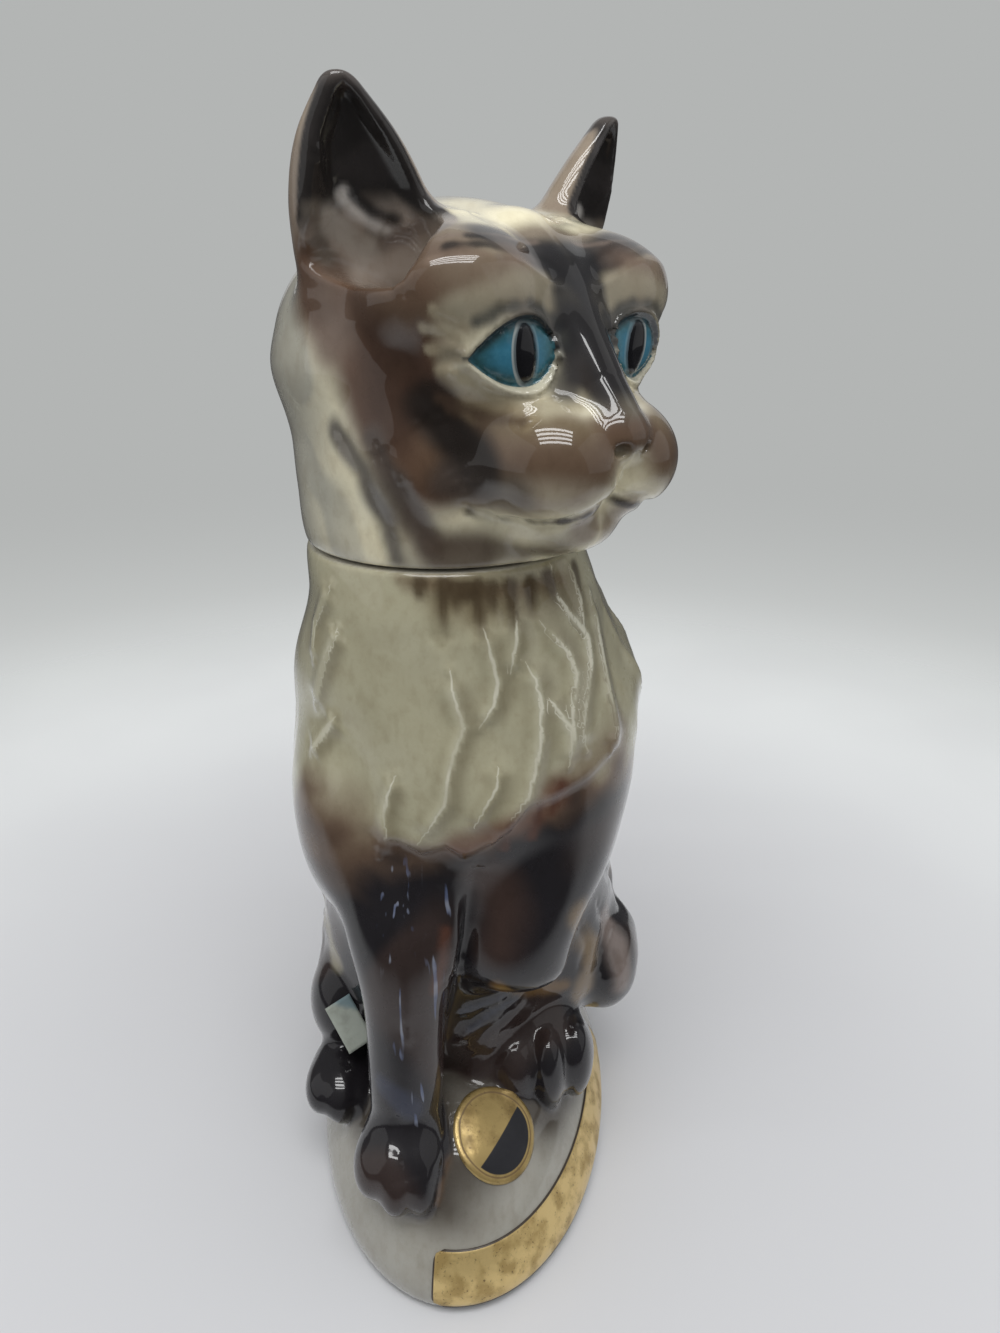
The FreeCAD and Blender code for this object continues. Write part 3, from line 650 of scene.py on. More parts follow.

# Distance to the nearest lock of the chest, with a sign for its side, and the painted shade on its left side
FAR_FROM_LOCKS = 99.0
lock_gap = np.full(len(vertices), FAR_FROM_LOCKS)
lee_shade = np.zeros(len(vertices))
for path, _, _ in chest_locks:
    distance, share = from_path(vertices, path)
    crest_x = np.interp(share, np.linspace(0, 1, len(path)), path[:, 0])
    aside = np.sqrt(np.maximum(distance**2 - figure_gap**2, 0)) * np.sign(vertices[:, 0] - crest_x)
    ends = step_up(0, 0.2, share) * step_up(1, 0.8, share)
    lee_shade = np.maximum(lee_shade, ends * step_up(0.2, 1.0, aside) * step_up(6.5, 1.0, aside))
    taper = 0.9 * step_up(0.3, 0, share) + 0.9 * step_up(0.7, 1, share)
    aside = aside + np.sign(aside) * taper * step_up(0, 0.8, np.abs(aside))
    lock_gap = np.where(np.abs(aside) < np.abs(lock_gap), aside, lock_gap)
paint = lay(paint, LEE_SHADE, 0.55 * lee_shade * step_up(0, -8, drop))
# Paths of the bluish streaks of painted reflection down the legs
REFLECTION_STREAK_PATHS = (
    ((396, 850), (394, 900), (398, 960), (402, 1020), (410, 1070), (420, 1112)),
    ((440, 866), (446, 910), (440, 960), (432, 1010)),
)
near_streak = np.min([from_path(vertices, run)[0] for run in traced(vessel_field, REFLECTION_STREAK_PATHS)], 0)
vessel_marks = {
    "paint": paint,
    "streaked": step_up(5, 2.5, near_streak) * step_up(4, 10, drop),
    "lock": lock_gap,
    "lock_near": np.abs(lock_gap),
}
vessel = piece_from("glazed_vessel", vertices, quads, **vessel_marks)


class Wire:
    """A socket in a material's node tree; arithmetic on values adds Math nodes."""

    def __init__(self, tree, socket=None):
        self.tree = tree
        self.socket = socket

    def node(self, kind, settings=None, inputs=None, output=0):
        """Add a node of a kind, set it up, feed its sockets and return one of its outputs."""
        made = self.tree.nodes.new(kind)
        for name, setting in (settings or {}).items():
            setattr(made, name, setting)
        for name, given in (inputs or {}).items():
            if isinstance(given, Wire):
                self.tree.links.new(given.socket, made.inputs[name])
            else:
                made.inputs[name].default_value = given
        return Wire(self.tree, made.outputs[output])

    def math(self, operation, first, second=0.0, third=0.0):
        """A Math node fed with up to three values."""
        return self.node("ShaderNodeMath", {"operation": operation}, {0: first, 1: second, 2: third})

    def __add__(self, other):
        return self.math("ADD", self, other)

    def __radd__(self, other):
        return self.math("ADD", other, self)

    def __sub__(self, other):
        return self.math("SUBTRACT", self, other)

    def __rsub__(self, other):
        return self.math("SUBTRACT", other, self)

    def __mul__(self, other):
        return self.math("MULTIPLY", self, other)

    def __rmul__(self, other):
        return self.math("MULTIPLY", other, self)

    def rise(self, low, high):
        """0 at low, 1 at high, smooth between."""
        ends = {"Value": self, "From Min": low, "From Max": high}
        return self.node("ShaderNodeMapRange", {"interpolation_type": "SMOOTHSTEP"}, ends)

    def mix(self, under, over):
        """Two colours mixed by this value."""
        feeds = {0: self, 6: under, 7: over}
        return self.node("ShaderNodeMix", {"data_type": "RGBA"}, feeds, output=2)


def material_for(name, **uniform):
    """A new material with its shader set evenly, the shader's node and a wire to build on."""
    material = bpy.data.materials.new(name)
    material.use_nodes = True
    shader = material.node_tree.nodes["Principled BSDF"]
    for socket, number in uniform.items():
        shader.inputs[socket.replace("_", " ")].default_value = number
    return material, shader, Wire(material.node_tree)


def feed(shader, **wires):
    """Link wires to the sockets of a shader."""
    for socket, wire in wires.items():
        wire.tree.links.new(wire.socket, shader.inputs[socket.replace("_", " ")])


def colour(red, green, blue):
    """A colour as a painter's 0 to 255 numbers, ready for a socket."""
    return (*srgb(red, green, blue), 1.0)


def own_place(wire):
    """Where a piece is looked at, in its own frame in metres."""
    return wire.node("ShaderNodeTexCoord", output=3)


def marked(wire, name, output=2):
    """What is stored on a piece's points: output 0 for a colour, 1 for a vector, 2 for a number."""
    return wire.node("ShaderNodeAttribute", {"attribute_name": name}, output=output)


def one_axis(vector, axis):
    """One number of a vector: 0 for x, 1 for y, 2 for z."""
    return vector.node("ShaderNodeSeparateXYZ", None, {0: vector}, output=axis)


def noise(place, scale, detail=2.0):
    """Smooth noise from 0 to 1 over places; a larger scale makes it finer."""
    return place.node("ShaderNodeTexNoise", None, {"Vector": place, "Scale": scale, "Detail": detail})


def bumped(height, strength, distance):
    """A surface made uneven by heights, over a distance in metres."""
    return height.node("ShaderNodeBump", None, {"Strength": strength, "Distance": distance, "Height": height})


SECOND_PASS = (214, 206, 196)


def darker_of(wire, coat):
    """A coat with a thin second pass of brown over it."""
    feeds = {0: 1.0, 6: coat, 7: colour(*SECOND_PASS)}
    return wire.node("ShaderNodeMix", {"data_type": "RGBA", "blend_type": "MULTIPLY"}, feeds, output=2)


def glaze(name, drawn=None):
    """Clear glossy glaze over airbrushed colours, faintly mottled and uneven, with what is drawn on it."""
    material, shader, wire = material_for(
        name, Coat_Weight=1.0, Coat_Roughness=0.03, Coat_IOR=1.5, IOR=1.45, Specular_IOR_Level=0.12
    )
    place = own_place(wire)
    painted = marked(wire, "paint", 0)
    mottle = noise(place, 160.0, 5.0)
    grain = noise(place, 900.0, 3.0)
    spots = mottle.rise(0.35, 0.75) * 0.25 + grain.rise(0.5, 0.8) * 0.15
    mixed = spots.mix(painted, darker_of(wire, painted))
    combed = wire.node("ShaderNodeMapping", None, {"Vector": place, "Scale": (420.0, 110.0, 240.0)})
    hairs = noise(combed, 1.0, 4.0)
    mixed = (hairs.rise(0.45, 0.75) * 0.3).mix(mixed, darker_of(wire, mixed))
    mixed = drawn(wire, mixed) if drawn else mixed
    swell = noise(place, 55.0, 2.0)
    bump = bumped(swell, 0.25, 0.0006)
    feed(shader, Base_Color=mixed, Roughness=0.22 + 0.12 * mottle, Normal=bump)
    return material


def painted_light(wire, painted):
    """1 where the coat is pale, 0 where it is dark."""
    return wire.node("ShaderNodeRGBToBW", None, {"Color": painted}).rise(0.1, 0.24)


# Colours of the painted reflection streaks on the legs and of the painted highlight on the crests
REFLECTED_GREY = (150, 156, 170)
REFLECTED_BLUE = (92, 104, 136)
CREST_HIGHLIGHT = (216, 214, 196)


def streaks(wire, painted):
    """The coat with a painted highlight along the crests of its locks and thin bluish streaks of painted
    reflection down the leg.
    """
    where = marked(wire, "streaked")
    place = own_place(wire)
    drawn_out = wire.node("ShaderNodeMapping", None, {"Vector": place, "Scale": (560.0, 560.0, 22.0)})
    runs = noise(drawn_out, 1.0, 1.0)
    bluish = noise(place, 120.0)
    tint = bluish.rise(0.4, 0.6).mix(colour(*REFLECTED_GREY), colour(*REFLECTED_BLUE))
    coat = (where * runs.rise(0.63, 0.69) * 0.6).mix(painted, tint)
    across = marked(wire, "lock")
    cream = painted_light(wire, painted)
    patchy = noise(place, 70.0).rise(0.35, 0.65)
    near = marked(wire, "lock_near").rise(2.0, 1.2)
    crest = wire.math("ABSOLUTE", across).rise(0.6, 0.1) * near * (0.2 + 0.5 * patchy)
    return (cream * crest).mix(coat, colour(*CREST_HIGHLIGHT))


vessel.data.materials.append(glaze("body_glaze", streaks))
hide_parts("cat_vessel")
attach(vessel, "vessel")


# The head is a second hollow casting, turned to the cat's left, that stands over the neck as the stopper.
# Its open round skirt hides the lip; the face is modelled in the mould and airbrushed before the clear glaze.
HEAD_TURN = math.radians(41)
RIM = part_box("cat_head")[0].z / MM
SKIRT_BORE = 30.7
SKIRT_DEPTH = 16.0
SKIRT_EDGE = 1.5
HEAD_SPACING = 0.72
FACE_SHIFT = np.array((5.0, -2.0, 0.0))
SKULL = ((5, 3, 43), (42, 45, 35))
HEAD_LOW = (-45, -66, -3)
HEAD_HIGH = (55, 54, 101)
JAW_EDGE = 1.5
JAW_MELT = 4
JAW_OVALS = (
    (0.0, 0, 0, 35.3, 35.3),
    (1.5, 0, 0, 35.7, 35.7),
    (14.0, 1.7, 1, 37.7, 37.7),
    (31.0, 5, 3, 39.8, 42.6),
    (43.0, 5, 3, 41.7, 44.7),
    (60.0, 5, 3, 29.0, 31.8),
)
# Forms of the right half of the face, mirrored for the left: centre, half sizes and width of the melt,
# with x to the cat's left, -y forward and z up from the rim
FACE_FORMS = {
    "cheek": ((-21, -12, 24), (19, 21, 17), 9),
    "brow": ((-20, -20, 57), (19, 20.5, 14), 8),
    "eye": ((-17.5, -28.5, 46.2), (13, 11, 10.5), 5),
    "muzzle_pad": ((-9.5, -40.0, 23.5), (14.5, 16.5, 13.5), 8),
}
CHIN = ((0, -32, 9.5), (15, 15.5, 8.5), 4)
NOSE_PATH = ((0, -19, 65), (0, -27.5, 58), (0, -36.0, 48), (0, -44.5, 38), (0, -51, 31.5))
NOSE_RADII = (9.0, 9.5, 8.2, 6.8, 5.8)
NOSE_MELT = 5
NOSE_LEATHER = ((0, -52.5, 29.5), (6.0, 5.4, 4.6), 2)
NOSTRIL = ((-3.6, -56.5, 27.6), (1.9, 2.6, 1.5))
FINE_EDGE = 0.8
PHILTRUM_RADIUS = 1.2
PHILTRUM = ((0, -57.0, 26), (0, -54.5, 20), (0, -52.5, 15.5))
EAR_FOOT = (-24.5, -1.0, 56.0)
EAR_TIP = (-37.5, -9.8, 96.2)
EAR_TURN = math.radians(-25)
EAR_HALF_WIDTH = 16.2
EAR_HALF_DEPTH = 11.5
EAR_TIP_RADIUS = 2.6
EAR_WIDTH_TAPER = 2.8
EAR_DEPTH_TAPER = 1.3
EAR_EDGE = 2
EAR_MELT = 6
EAR_RIM = 2.6
EAR_DISH_FORWARD = 2.0
EAR_DISH_DEPTH = 2.4
EAR_DISH_EDGE = 3
EAR_DISH_ROUNDING = 2.0
EAR_DISH_FOOT_ROUNDING = 6.0
EAR_DISH_FOOT = (72, 60)
EAR_OVALS = []
for share in (0.0, 0.25, 0.5, 0.75, 1.0):
    level = EAR_FOOT[2] + share * (EAR_TIP[2] - EAR_FOOT[2])
    half_width = EAR_TIP_RADIUS + (EAR_HALF_WIDTH - EAR_TIP_RADIUS) * (1 - share**EAR_WIDTH_TAPER)
    half_depth = EAR_TIP_RADIUS + (EAR_HALF_DEPTH - EAR_TIP_RADIUS) * (1 - share**EAR_DEPTH_TAPER)
    EAR_OVALS.append((level, 0, 0, half_width, half_depth))
EAR_DISH_OVALS = [(57.0, 5.0, -13.5, 4.0, 11.5)]
for level, _, _, half_width, half_depth in EAR_OVALS[1:]:
    forward = -half_depth - EAR_DISH_FORWARD
    dish_width = max(half_width - EAR_RIM, 0.6)
    EAR_DISH_OVALS.append((level - EAR_RIM, 0.6, forward, dish_width, half_depth + EAR_DISH_DEPTH))
EYE_CENTRE = (-17.5, -39.5, 46.2)
EYE_OUTWARD = math.radians(18)
EYE_TILT = math.radians(-5)
EYE_INNER = 7.4
EYE_OUTER = 12.2
EYE_OPEN = 6.5
EYE_SHIFT = 1.2


def eye_axes():
    """Directions along the right eye, up across it and out of it."""
    outward = np.array((-math.cos(EYE_OUTWARD), math.sin(EYE_OUTWARD), 0))
    facing = np.array((-math.sin(EYE_OUTWARD), -math.cos(EYE_OUTWARD), 0))
    upward = np.array((0, 0, 1))
    along = outward * math.cos(EYE_TILT) + upward * math.sin(EYE_TILT)
    across = upward * math.cos(EYE_TILT) - outward * math.sin(EYE_TILT)
    return along, across, facing


def mirrored(points):
    """Points of the face folded over onto its right half."""
    return points * np.where(points[:, :1] > 0, -1, 1) ** np.array((1, 0, 0))


def eye_relief(face):
    """Raised lids round the open eye, the sunk edge of the eyeball and the swell of the pupil."""
    along, across, facing = eye_axes()
    away = face - np.array(EYE_CENTRE)
    over = away @ along + EYE_SHIFT
    up = away @ across
    end = np.maximum(-over / EYE_INNER, over / EYE_OUTER)
    lid = np.abs(up) - EYE_OPEN * np.maximum(1 - end**2, 0) ** np.where(over < 0, 0.5, 1.0)
    lid = np.where(end > 1, np.maximum(lid, 2 * (end - 1) * EYE_INNER), lid)
    front = step_up(-10, -6, away @ facing) * step_up(17, 13, np.linalg.norm(away, axis=1))
    raised = 1.0 * np.exp(-(((lid - 1.0) / 1.1) ** 2))
    sunk = -0.7 * np.exp(-(((lid + 0.35) / 0.7) ** 2))
    iris = 0.35 * step_up(7.4, 6.4, np.hypot(over, up)) * (lid < 0)
    pupil = 0.5 * step_up(1.1, 0.8, np.hypot(over / 2.3, up / 5.7))
    return front * (raised + sunk + iris + pupil)


def to_ear(face):
    """Places counted from the leaning axis of the right ear, turned so that its dish faces -y."""
    slant = (face[:, 2] - EAR_FOOT[2]) / (EAR_TIP[2] - EAR_FOOT[2])
    away = face - np.outer(1 - slant, EAR_FOOT) - np.outer(slant, EAR_TIP)
    turn = np.array(((math.cos(EAR_TURN), math.sin(EAR_TURN)), (-math.sin(EAR_TURN), math.cos(EAR_TURN))))
    return np.column_stack([away[:, :2] @ turn.T, face[:, 2]])


def head_base(points):
    """Distance to the head before its fine modelling, in the head's own frame."""
    head = melt(ellipsoid(points, *SKULL), stack(points, JAW_OVALS, JAW_EDGE), JAW_MELT)
    face = mirrored(points - FACE_SHIFT)
    for centre, half, width in FACE_FORMS.values():
        head = melt(head, ellipsoid(face, centre, half), width)
    centre, half, width = CHIN
    head = melt(head, ellipsoid(face, centre, half), width)
    distance, share = from_path(face, NOSE_PATH)
    radius = np.interp(share, np.linspace(0, 1, len(NOSE_RADII)), NOSE_RADII)
    head = melt(head, distance - radius, NOSE_MELT)
    centre, half, width = NOSE_LEATHER
    head = melt(head, ellipsoid(face, centre, half), width)
    ear = to_ear(face)
    dish = stack(ear, EAR_DISH_OVALS, EAR_DISH_EDGE)
    rounding = EAR_DISH_ROUNDING + EAR_DISH_FOOT_ROUNDING * step_up(*EAR_DISH_FOOT, ear[:, 2])
    head = melt(head, carve(stack(ear, EAR_OVALS, EAR_EDGE), dish, rounding), EAR_MELT)
    return carve(head, dish, rounding)


def to_head(points):
    """Row frame to the head's own frame, in millimetres."""
    away = points - np.array((NECK_X, NECK_Y, RIM))
    cosine, sine = math.cos(HEAD_TURN), math.sin(HEAD_TURN)
    return np.column_stack([away[:, :2] @ np.array(((cosine, -sine), (sine, cosine))), away[:, 2]])


def to_row(points):
    """The head's own frame to the row frame, in millimetres."""
    cosine, sine = math.cos(HEAD_TURN), math.sin(HEAD_TURN)
    turned = points[:, :2] @ np.array(((cosine, sine), (-sine, cosine)))
    return np.column_stack([turned, points[:, 2]]) + np.array((NECK_X, NECK_Y, RIM))


def face_paths(strokes):
    """For each stroke of pixels, its path on the right half of the face."""
    seen = traced(lambda points: head_base(to_head(points)), pixels_of(strokes))
    return [mirrored(to_head(path) - FACE_SHIFT) for path in seen]


# Modelled ridges and grooves: pixels along each, height and width in millimetres
FACE_RELIEF = (
    (((398, 288), (432, 266), (478, 258), (525, 268), (560, 288)), 0.7, 2.6),
    (((418, 418), (440, 442), (455, 476)), -0.9, 1.8),
    (((442, 414), (456, 448), (463, 486)), -0.8, 1.6),
    (((375, 445), (395, 490), (426, 542)), -0.9, 2.0),
    (((400, 480), (418, 515), (432, 546)), -0.7, 1.8),
    (((338, 432), (365, 480), (392, 540)), -0.6, 2.2),
    (((405, 226), (440, 212), (472, 214)), 0.8, 3.0),
    (((436, 316), (462, 330)), -0.5, 1.3),
    (((430, 336), (460, 345)), -0.5, 1.3),
    (((440, 362), (464, 358)), -0.5, 1.3),
    (((452, 372), (490, 396), (535, 408), (566, 402)), 0.6, 2.0),
    (((618, 484), (614, 496), (600, 508), (582, 518), (540, 525), (497, 524), (464, 508)), -2.3, 1.1),
    (((343, 195), (352, 208), (366, 221), (388, 232)), 1.6, 2.0),
    (((318, 150), (322, 190), (326, 222)), 0.8, 1.6),
    (((392, 196), (398, 210), (396, 226)), 0.9, 1.6),
)
FACE_RELIEF_PATHS = [(path, *stroke[1:]) for path, stroke in zip(face_paths(FACE_RELIEF), FACE_RELIEF)]


def head_field(points):
    """Distance to the outside of the head and the open skirt, in the head's own frame."""
    face = mirrored(points - FACE_SHIFT)
    head = head_base(points) - eye_relief(face)
    head = head - relief(face, FACE_RELIEF_PATHS)
    distance, _ = from_path(face, PHILTRUM)
    head = carve(head, distance - PHILTRUM_RADIUS, FINE_EDGE)
    head = carve(head, ellipsoid(face, *NOSTRIL), FINE_EDGE)
    from_axis = np.hypot(points[:, 0], points[:, 1])
    skirt = np.maximum(from_axis - SKIRT_BORE, points[:, 2] - SKIRT_DEPTH)
    return carve(np.maximum(head, -points[:, 2]), skirt, SKIRT_EDGE)


head_points, head_quads = skin(head_field, HEAD_LOW, HEAD_HIGH, HEAD_SPACING)

CROWN = (236, 229, 198)
NAPE = (172, 170, 156)
MASK = (90, 64, 48)
EAR_BACK = (132, 116, 102)
FOREHEAD_BLACK = (28, 27, 29)
LASH = (160, 150, 126)
EAR_CUP_AND_HIGHLIGHT = (172, 160, 148)
EAR_BLACK = (20, 19, 21)
EAR_SHEEN = (58, 54, 53)
EAR_TIP_GREY = (92, 86, 82)
face_points = mirrored(head_points - FACE_SHIFT)
soft_noise = ripple(head_points, 12, 61)
coat = np.tile(srgb(*CROWN), (len(head_points), 1))
coat = lay(coat, NAPE, step_up(-25, 15, head_points[:, 1]) + 0.4 * step_up(0, 1, soft_noise))
FACE_STROKES = (
    (((366, 285), (375, 340), (390, 395), (420, 435)), MASK, 14, 5, 0.97),
    (((414, 300), (424, 345), (432, 385)), MASK, 6, 4, 0.9),
    (((372, 300), (390, 350), (405, 400)), (62, 45, 36), 9, 6, 0.85),
    (((330, 250), (325, 300), (332, 345)), (108, 92, 80), 5, 4, 0.8),
    (((385, 285), (430, 272), (480, 268), (520, 278)), (94, 75, 60), 8, 4, 0.92),
    (((410, 236), (450, 236), (500, 236), (545, 240)), (100, 84, 73), 6, 4, 0.85),
    (((492, 234), (525, 250), (556, 270), (582, 298)), (46, 44, 45), 5.4, 2.6, 0.92),
    (((566, 262), (586, 272), (604, 296), (612, 330), (606, 368)), (30, 29, 31), 5.5, 3, 0.95),
    (((430, 262), (470, 256), (515, 264)), (126, 108, 94), 0.8, 0.7, 0.6),
    (((440, 238), (490, 236), (535, 242)), (122, 108, 98), 0.8, 0.7, 0.6),
    (((446, 246), (486, 246), (524, 258), (560, 282)), (22, 21, 22), 1.1, 0.9, 0.8),
    (((470, 236), (512, 242), (550, 262), (576, 290)), (22, 21, 22), 1.0, 0.8, 0.8),
    (((498, 258), (530, 268), (556, 288)), (112, 102, 92), 0.8, 0.7, 0.6),
    (((630, 262), (640, 290), (632, 320)), (104, 86, 74), 5.0, 4, 0.8),
    (((588, 300), (592, 340), (586, 374)), (24, 23, 25), 4.2, 2.5, 0.92),
    (((613, 330), (622, 372), (634, 402), (646, 424)), (60, 55, 52), 4.5, 3, 0.9),
    (((590, 378), (606, 404), (616, 430)), (54, 48, 44), 3.4, 2, 0.88),
    (((606, 430), (622, 440), (640, 432)), (84, 64, 52), 3.0, 2, 0.8),
    (((470, 440), (520, 446), (560, 448), (600, 458)), (98, 78, 61), 11, 5, 0.95),
    (((500, 422), (540, 420), (575, 430)), (110, 97, 74), 4.0, 3.5, 0.8),
    (((520, 458), (560, 465), (600, 472)), (84, 65, 50), 5, 4, 0.7),
    (((480, 500), (530, 506), (580, 500)), (132, 118, 106), 3.5, 3.5, 0.75),
    (((434, 410), (450, 432), (466, 452), (478, 472)), (25, 22, 20), 5.6, 3.0, 0.95),
    (((428, 398), (446, 424)), (36, 30, 26), 4.0, 2.5, 0.85),
    (((450, 480), (486, 494), (512, 492)), (64, 58, 54), 4, 3.5, 0.75),
    (((456, 368), (480, 390), (512, 406), (545, 410), (570, 402)), (166, 158, 134), 3.0, 2.0, 0.92),
    (((470, 402), (500, 416), (530, 420)), (152, 138, 110), 2.4, 1.8, 0.75),
    (((462, 318), (478, 302), (506, 290), (542, 290), (566, 306)), (148, 140, 120), 3.6, 2.6, 0.9),
    (((568, 316), (574, 352), (566, 388)), (58, 56, 56), 2.8, 2.2, 0.85),
    (((434, 310), (462, 326)), LASH, 1.0, 0.7, 0.85),
    (((424, 328), (458, 338)), LASH, 1.0, 0.7, 0.85),
    (((428, 350), (462, 350)), LASH, 1.0, 0.7, 0.85),
    (((438, 370), (466, 364)), LASH, 1.0, 0.7, 0.85),
    (((478, 322), (500, 310), (530, 306), (556, 318), (566, 345)), (48, 53, 55), 1.3, 1.2, 0.75),
    (((440, 398), (480, 416), (522, 422)), (74, 58, 46), 1.6, 1.3, 0.8),
    (((385, 485), (400, 520), (425, 555)), (112, 102, 94), 4.5, 4, 0.55),
    (((335, 430), (360, 472), (386, 522), (396, 558)), (84, 80, 78), 2.6, 2.2, 0.88),
    (((370, 440), (386, 470), (402, 502), (432, 546)), (78, 71, 66), 2.6, 2.0, 0.8),
    (((400, 482), (415, 512), (430, 542)), (86, 78, 72), 2.0, 1.8, 0.7),
    (((410, 522), (440, 550), (480, 556)), (84, 72, 64), 4.5, 3.5, 0.8),
    (((440, 546), (480, 545), (524, 552), (560, 550)), (86, 74, 63), 4.0, 3, 0.8),
    (((590, 530), (615, 518), (632, 508)), (108, 90, 80), 3.5, 2.5, 0.75),
    (((470, 512), (497, 524), (540, 526), (582, 520), (612, 500)), (44, 34, 28), 1.0, 0.8, 0.95),
)
coat = brushed(coat, face_points, FACE_STROKES, face_paths(FACE_STROKES), 70)
FOREHEAD = ((0, -34, 65), (0, -38, 59), (0, -42, 52), (0, -49, 41))
distance, share = from_path(face_points, FOREHEAD)
streaky = distance + 1.5 * ripple(face_points, 7, 99)
coat = lay(coat, FOREHEAD_BLACK, 0.92 * step_up(9.0, 4.5, streaky) * step_up(0, 0.25, share))
ear_points = to_ear(face_points)
ear_gap = stack(ear_points, EAR_OVALS, EAR_EDGE)
dish_gap = stack(ear_points, EAR_DISH_OVALS, EAR_DISH_EDGE)
on_ear = step_up(4, 1, ear_gap) * step_up(66, 76, face_points[:, 2] + 3 * soft_noise)
coat = lay(coat, EAR_BACK, 0.85 * on_ear)
rim_cover = 3.4 - 0.5 * step_up(1, 7, ear_points[:, 0])
in_dish = step_up(1.6, 0.5, dish_gap + 0.4 * soft_noise - rim_cover * step_up(64, 72, face_points[:, 2]))
# The cup of the ear in its pale colour, lightened further as a painted highlight on its folds
coat = lay(coat, EAR_CUP_AND_HIGHLIGHT, 0.9 * in_dish * step_up(56, 62, face_points[:, 2]))
coat = lay(coat, EAR_BLACK, 0.96 * in_dish * step_up(67, 75, face_points[:, 2] + 3 * soft_noise))
coat = lay(coat, EAR_SHEEN, 0.6 * in_dish * step_up(0.2, 0.9, ripple(head_points, 6, 64)))
tip = step_up(92.5, 95.5, face_points[:, 2]) * step_up(4, 1, ear_gap)
coat = lay(coat, EAR_TIP_GREY, 0.7 * tip)
EAR_STROKES = (
    (((326, 222), (346, 234), (372, 244)), (184, 178, 168), 2.6, 2.0, 0.85),
    (((343, 195), (352, 208), (366, 221), (388, 232)), (206, 202, 196), 1.4, 1.2, 0.85),
    (((352, 198), (372, 211), (396, 219)), (26, 24, 25), 1.3, 1.0, 0.9),
    (((314, 210), (318, 235), (326, 256)), (112, 104, 94), 1.8, 1.5, 0.75),
    (((386, 244), (404, 236), (420, 222)), (110, 98, 92), 1.6, 1.4, 0.7),
)
coat = brushed(coat, face_points, EAR_STROKES, face_paths(EAR_STROKES), 120)

EYE_COLOURS = {
    "corner": (44, 84, 88),
    "iris": (50, 112, 136),
    "cloud": (72, 134, 156),
    "ring": (158, 166, 164),
    "inner_ring": (70, 80, 86),
    "pupil": (14, 14, 18),
    "shade": (34, 44, 50),
    "low_lid": (176, 174, 158),
    "upper_lid_shade": (62, 62, 58),
    "outline": (44, 50, 54),
}
RING_HALF = (3.4, 6.6)
PUPIL_HALF = (2.5, 5.7)
along, across, facing = eye_axes()
away = face_points - np.array(EYE_CENTRE)
eye_place = np.column_stack([away @ along + EYE_SHIFT, away @ across, away @ facing])


def eyes(wire, painted):
    """The painted coat with both eyes drawn on it: blue lens, pale ring, upright pupil and dark outline."""
    seen = marked(wire, "eye", 1)
    over, up, depth = (one_axis(seen, axis) for axis in range(3))
    end = wire.math("MAXIMUM", over * (-1 / EYE_INNER), over * (1 / EYE_OUTER))
    open_share = wire.math("MAXIMUM", 1 - end * end, 0.0)
    height = wire.math("ABSOLUTE", up)
    lid = height - EYE_OPEN * wire.math("POWER", open_share, 0.5 + 0.5 * over.rise(-0.1, 0.1))
    lid = wire.math("MAXIMUM", lid, (end - 1) * EYE_INNER)
    near = wire.math("SQRT", over * over + up * up + depth * depth).rise(19, 17) * depth.rise(-9, -7)
    cloudy = noise(seen, 0.5, 3.0)
    tint = {place: colour(*shade) for place, shade in EYE_COLOURS.items()}
    iris = lid.rise(-4.5, -0.6).mix(tint["iris"], tint["corner"])
    iris = (cloudy.rise(0.35, 0.75) * 0.35).mix(iris, tint["cloud"])
    outer = wire.math("SQRT", (over * over) * RING_HALF[0] ** -2 + (up * up) * RING_HALF[1] ** -2)
    inner = wire.math("SQRT", (over * over) * PUPIL_HALF[0] ** -2 + (up * up) * PUPIL_HALF[1] ** -2)
    # The pale ring round the pupil, brighter on its outer side as a painted highlight
    ring = outer.rise(1.06, 0.98) * (0.2 + 0.75 * over.rise(-1.0, 2.0))
    eye = ring.mix(iris, tint["ring"])
    eye = (outer.rise(0.95, 0.82) * 0.8).mix(eye, tint["inner_ring"])
    eye = inner.rise(1.04, 0.97).mix(eye, tint["pupil"])
    # Painted shadow of the upper lid across the top of the eye
    shade = lid.rise(-2.2, 0.0) * up.rise(0.0, 3.0) * 0.75
    eye = shade.mix(eye, tint["shade"])
    rim = lid.rise(0.9, 0.5) * up.rise(-1.0, 1.5)
    low_rim = lid.rise(2.2, 0.6) * up.rise(0.5, -1.5) * 0.7
    coat = (near * low_rim).mix(painted, tint["low_lid"])
    # Painted shade on the upper lid above the eye
    upper_shade = lid.rise(4.4, 0.8) * up.rise(-1.5, 2.0) * (0.55 + 0.35 * over.rise(2.0, -5.0))
    coat = (near * upper_shade).mix(coat, tint["upper_lid_shade"])
    coat = (near * rim).mix(coat, tint["outline"])
    return (near * lid.rise(0.12, -0.12)).mix(coat, eye)


head_row = to_row(head_points)
head_piece = piece_from("glazed_head", head_row, head_quads, paint=coat, eye=eye_place)
head_piece.data.materials.append(glaze("head_glaze", eyes))
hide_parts("cat_head")
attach(head_piece, "head")


# The label is a strip of gold foil paper pasted round the front and left of the plinth's wall.
# Handling has rubbed it dull and blotched it; a thin dark rule follows its edge.
PASTE = 0.05
PAPER = 0.3
LABEL_CORNER = 3.0
LABEL_ROWS = 14
LABEL_COLUMNS = 110
LABEL_GOLD = (218, 192, 132)
LABEL_RUBBED = (178, 152, 96)
TARNISH = (112, 92, 62)
RULE_INK = (58, 48, 38)
label_low, label_high = (np.array(corner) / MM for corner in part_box("foil_label"))
label_height = label_high[2] - label_low[2]


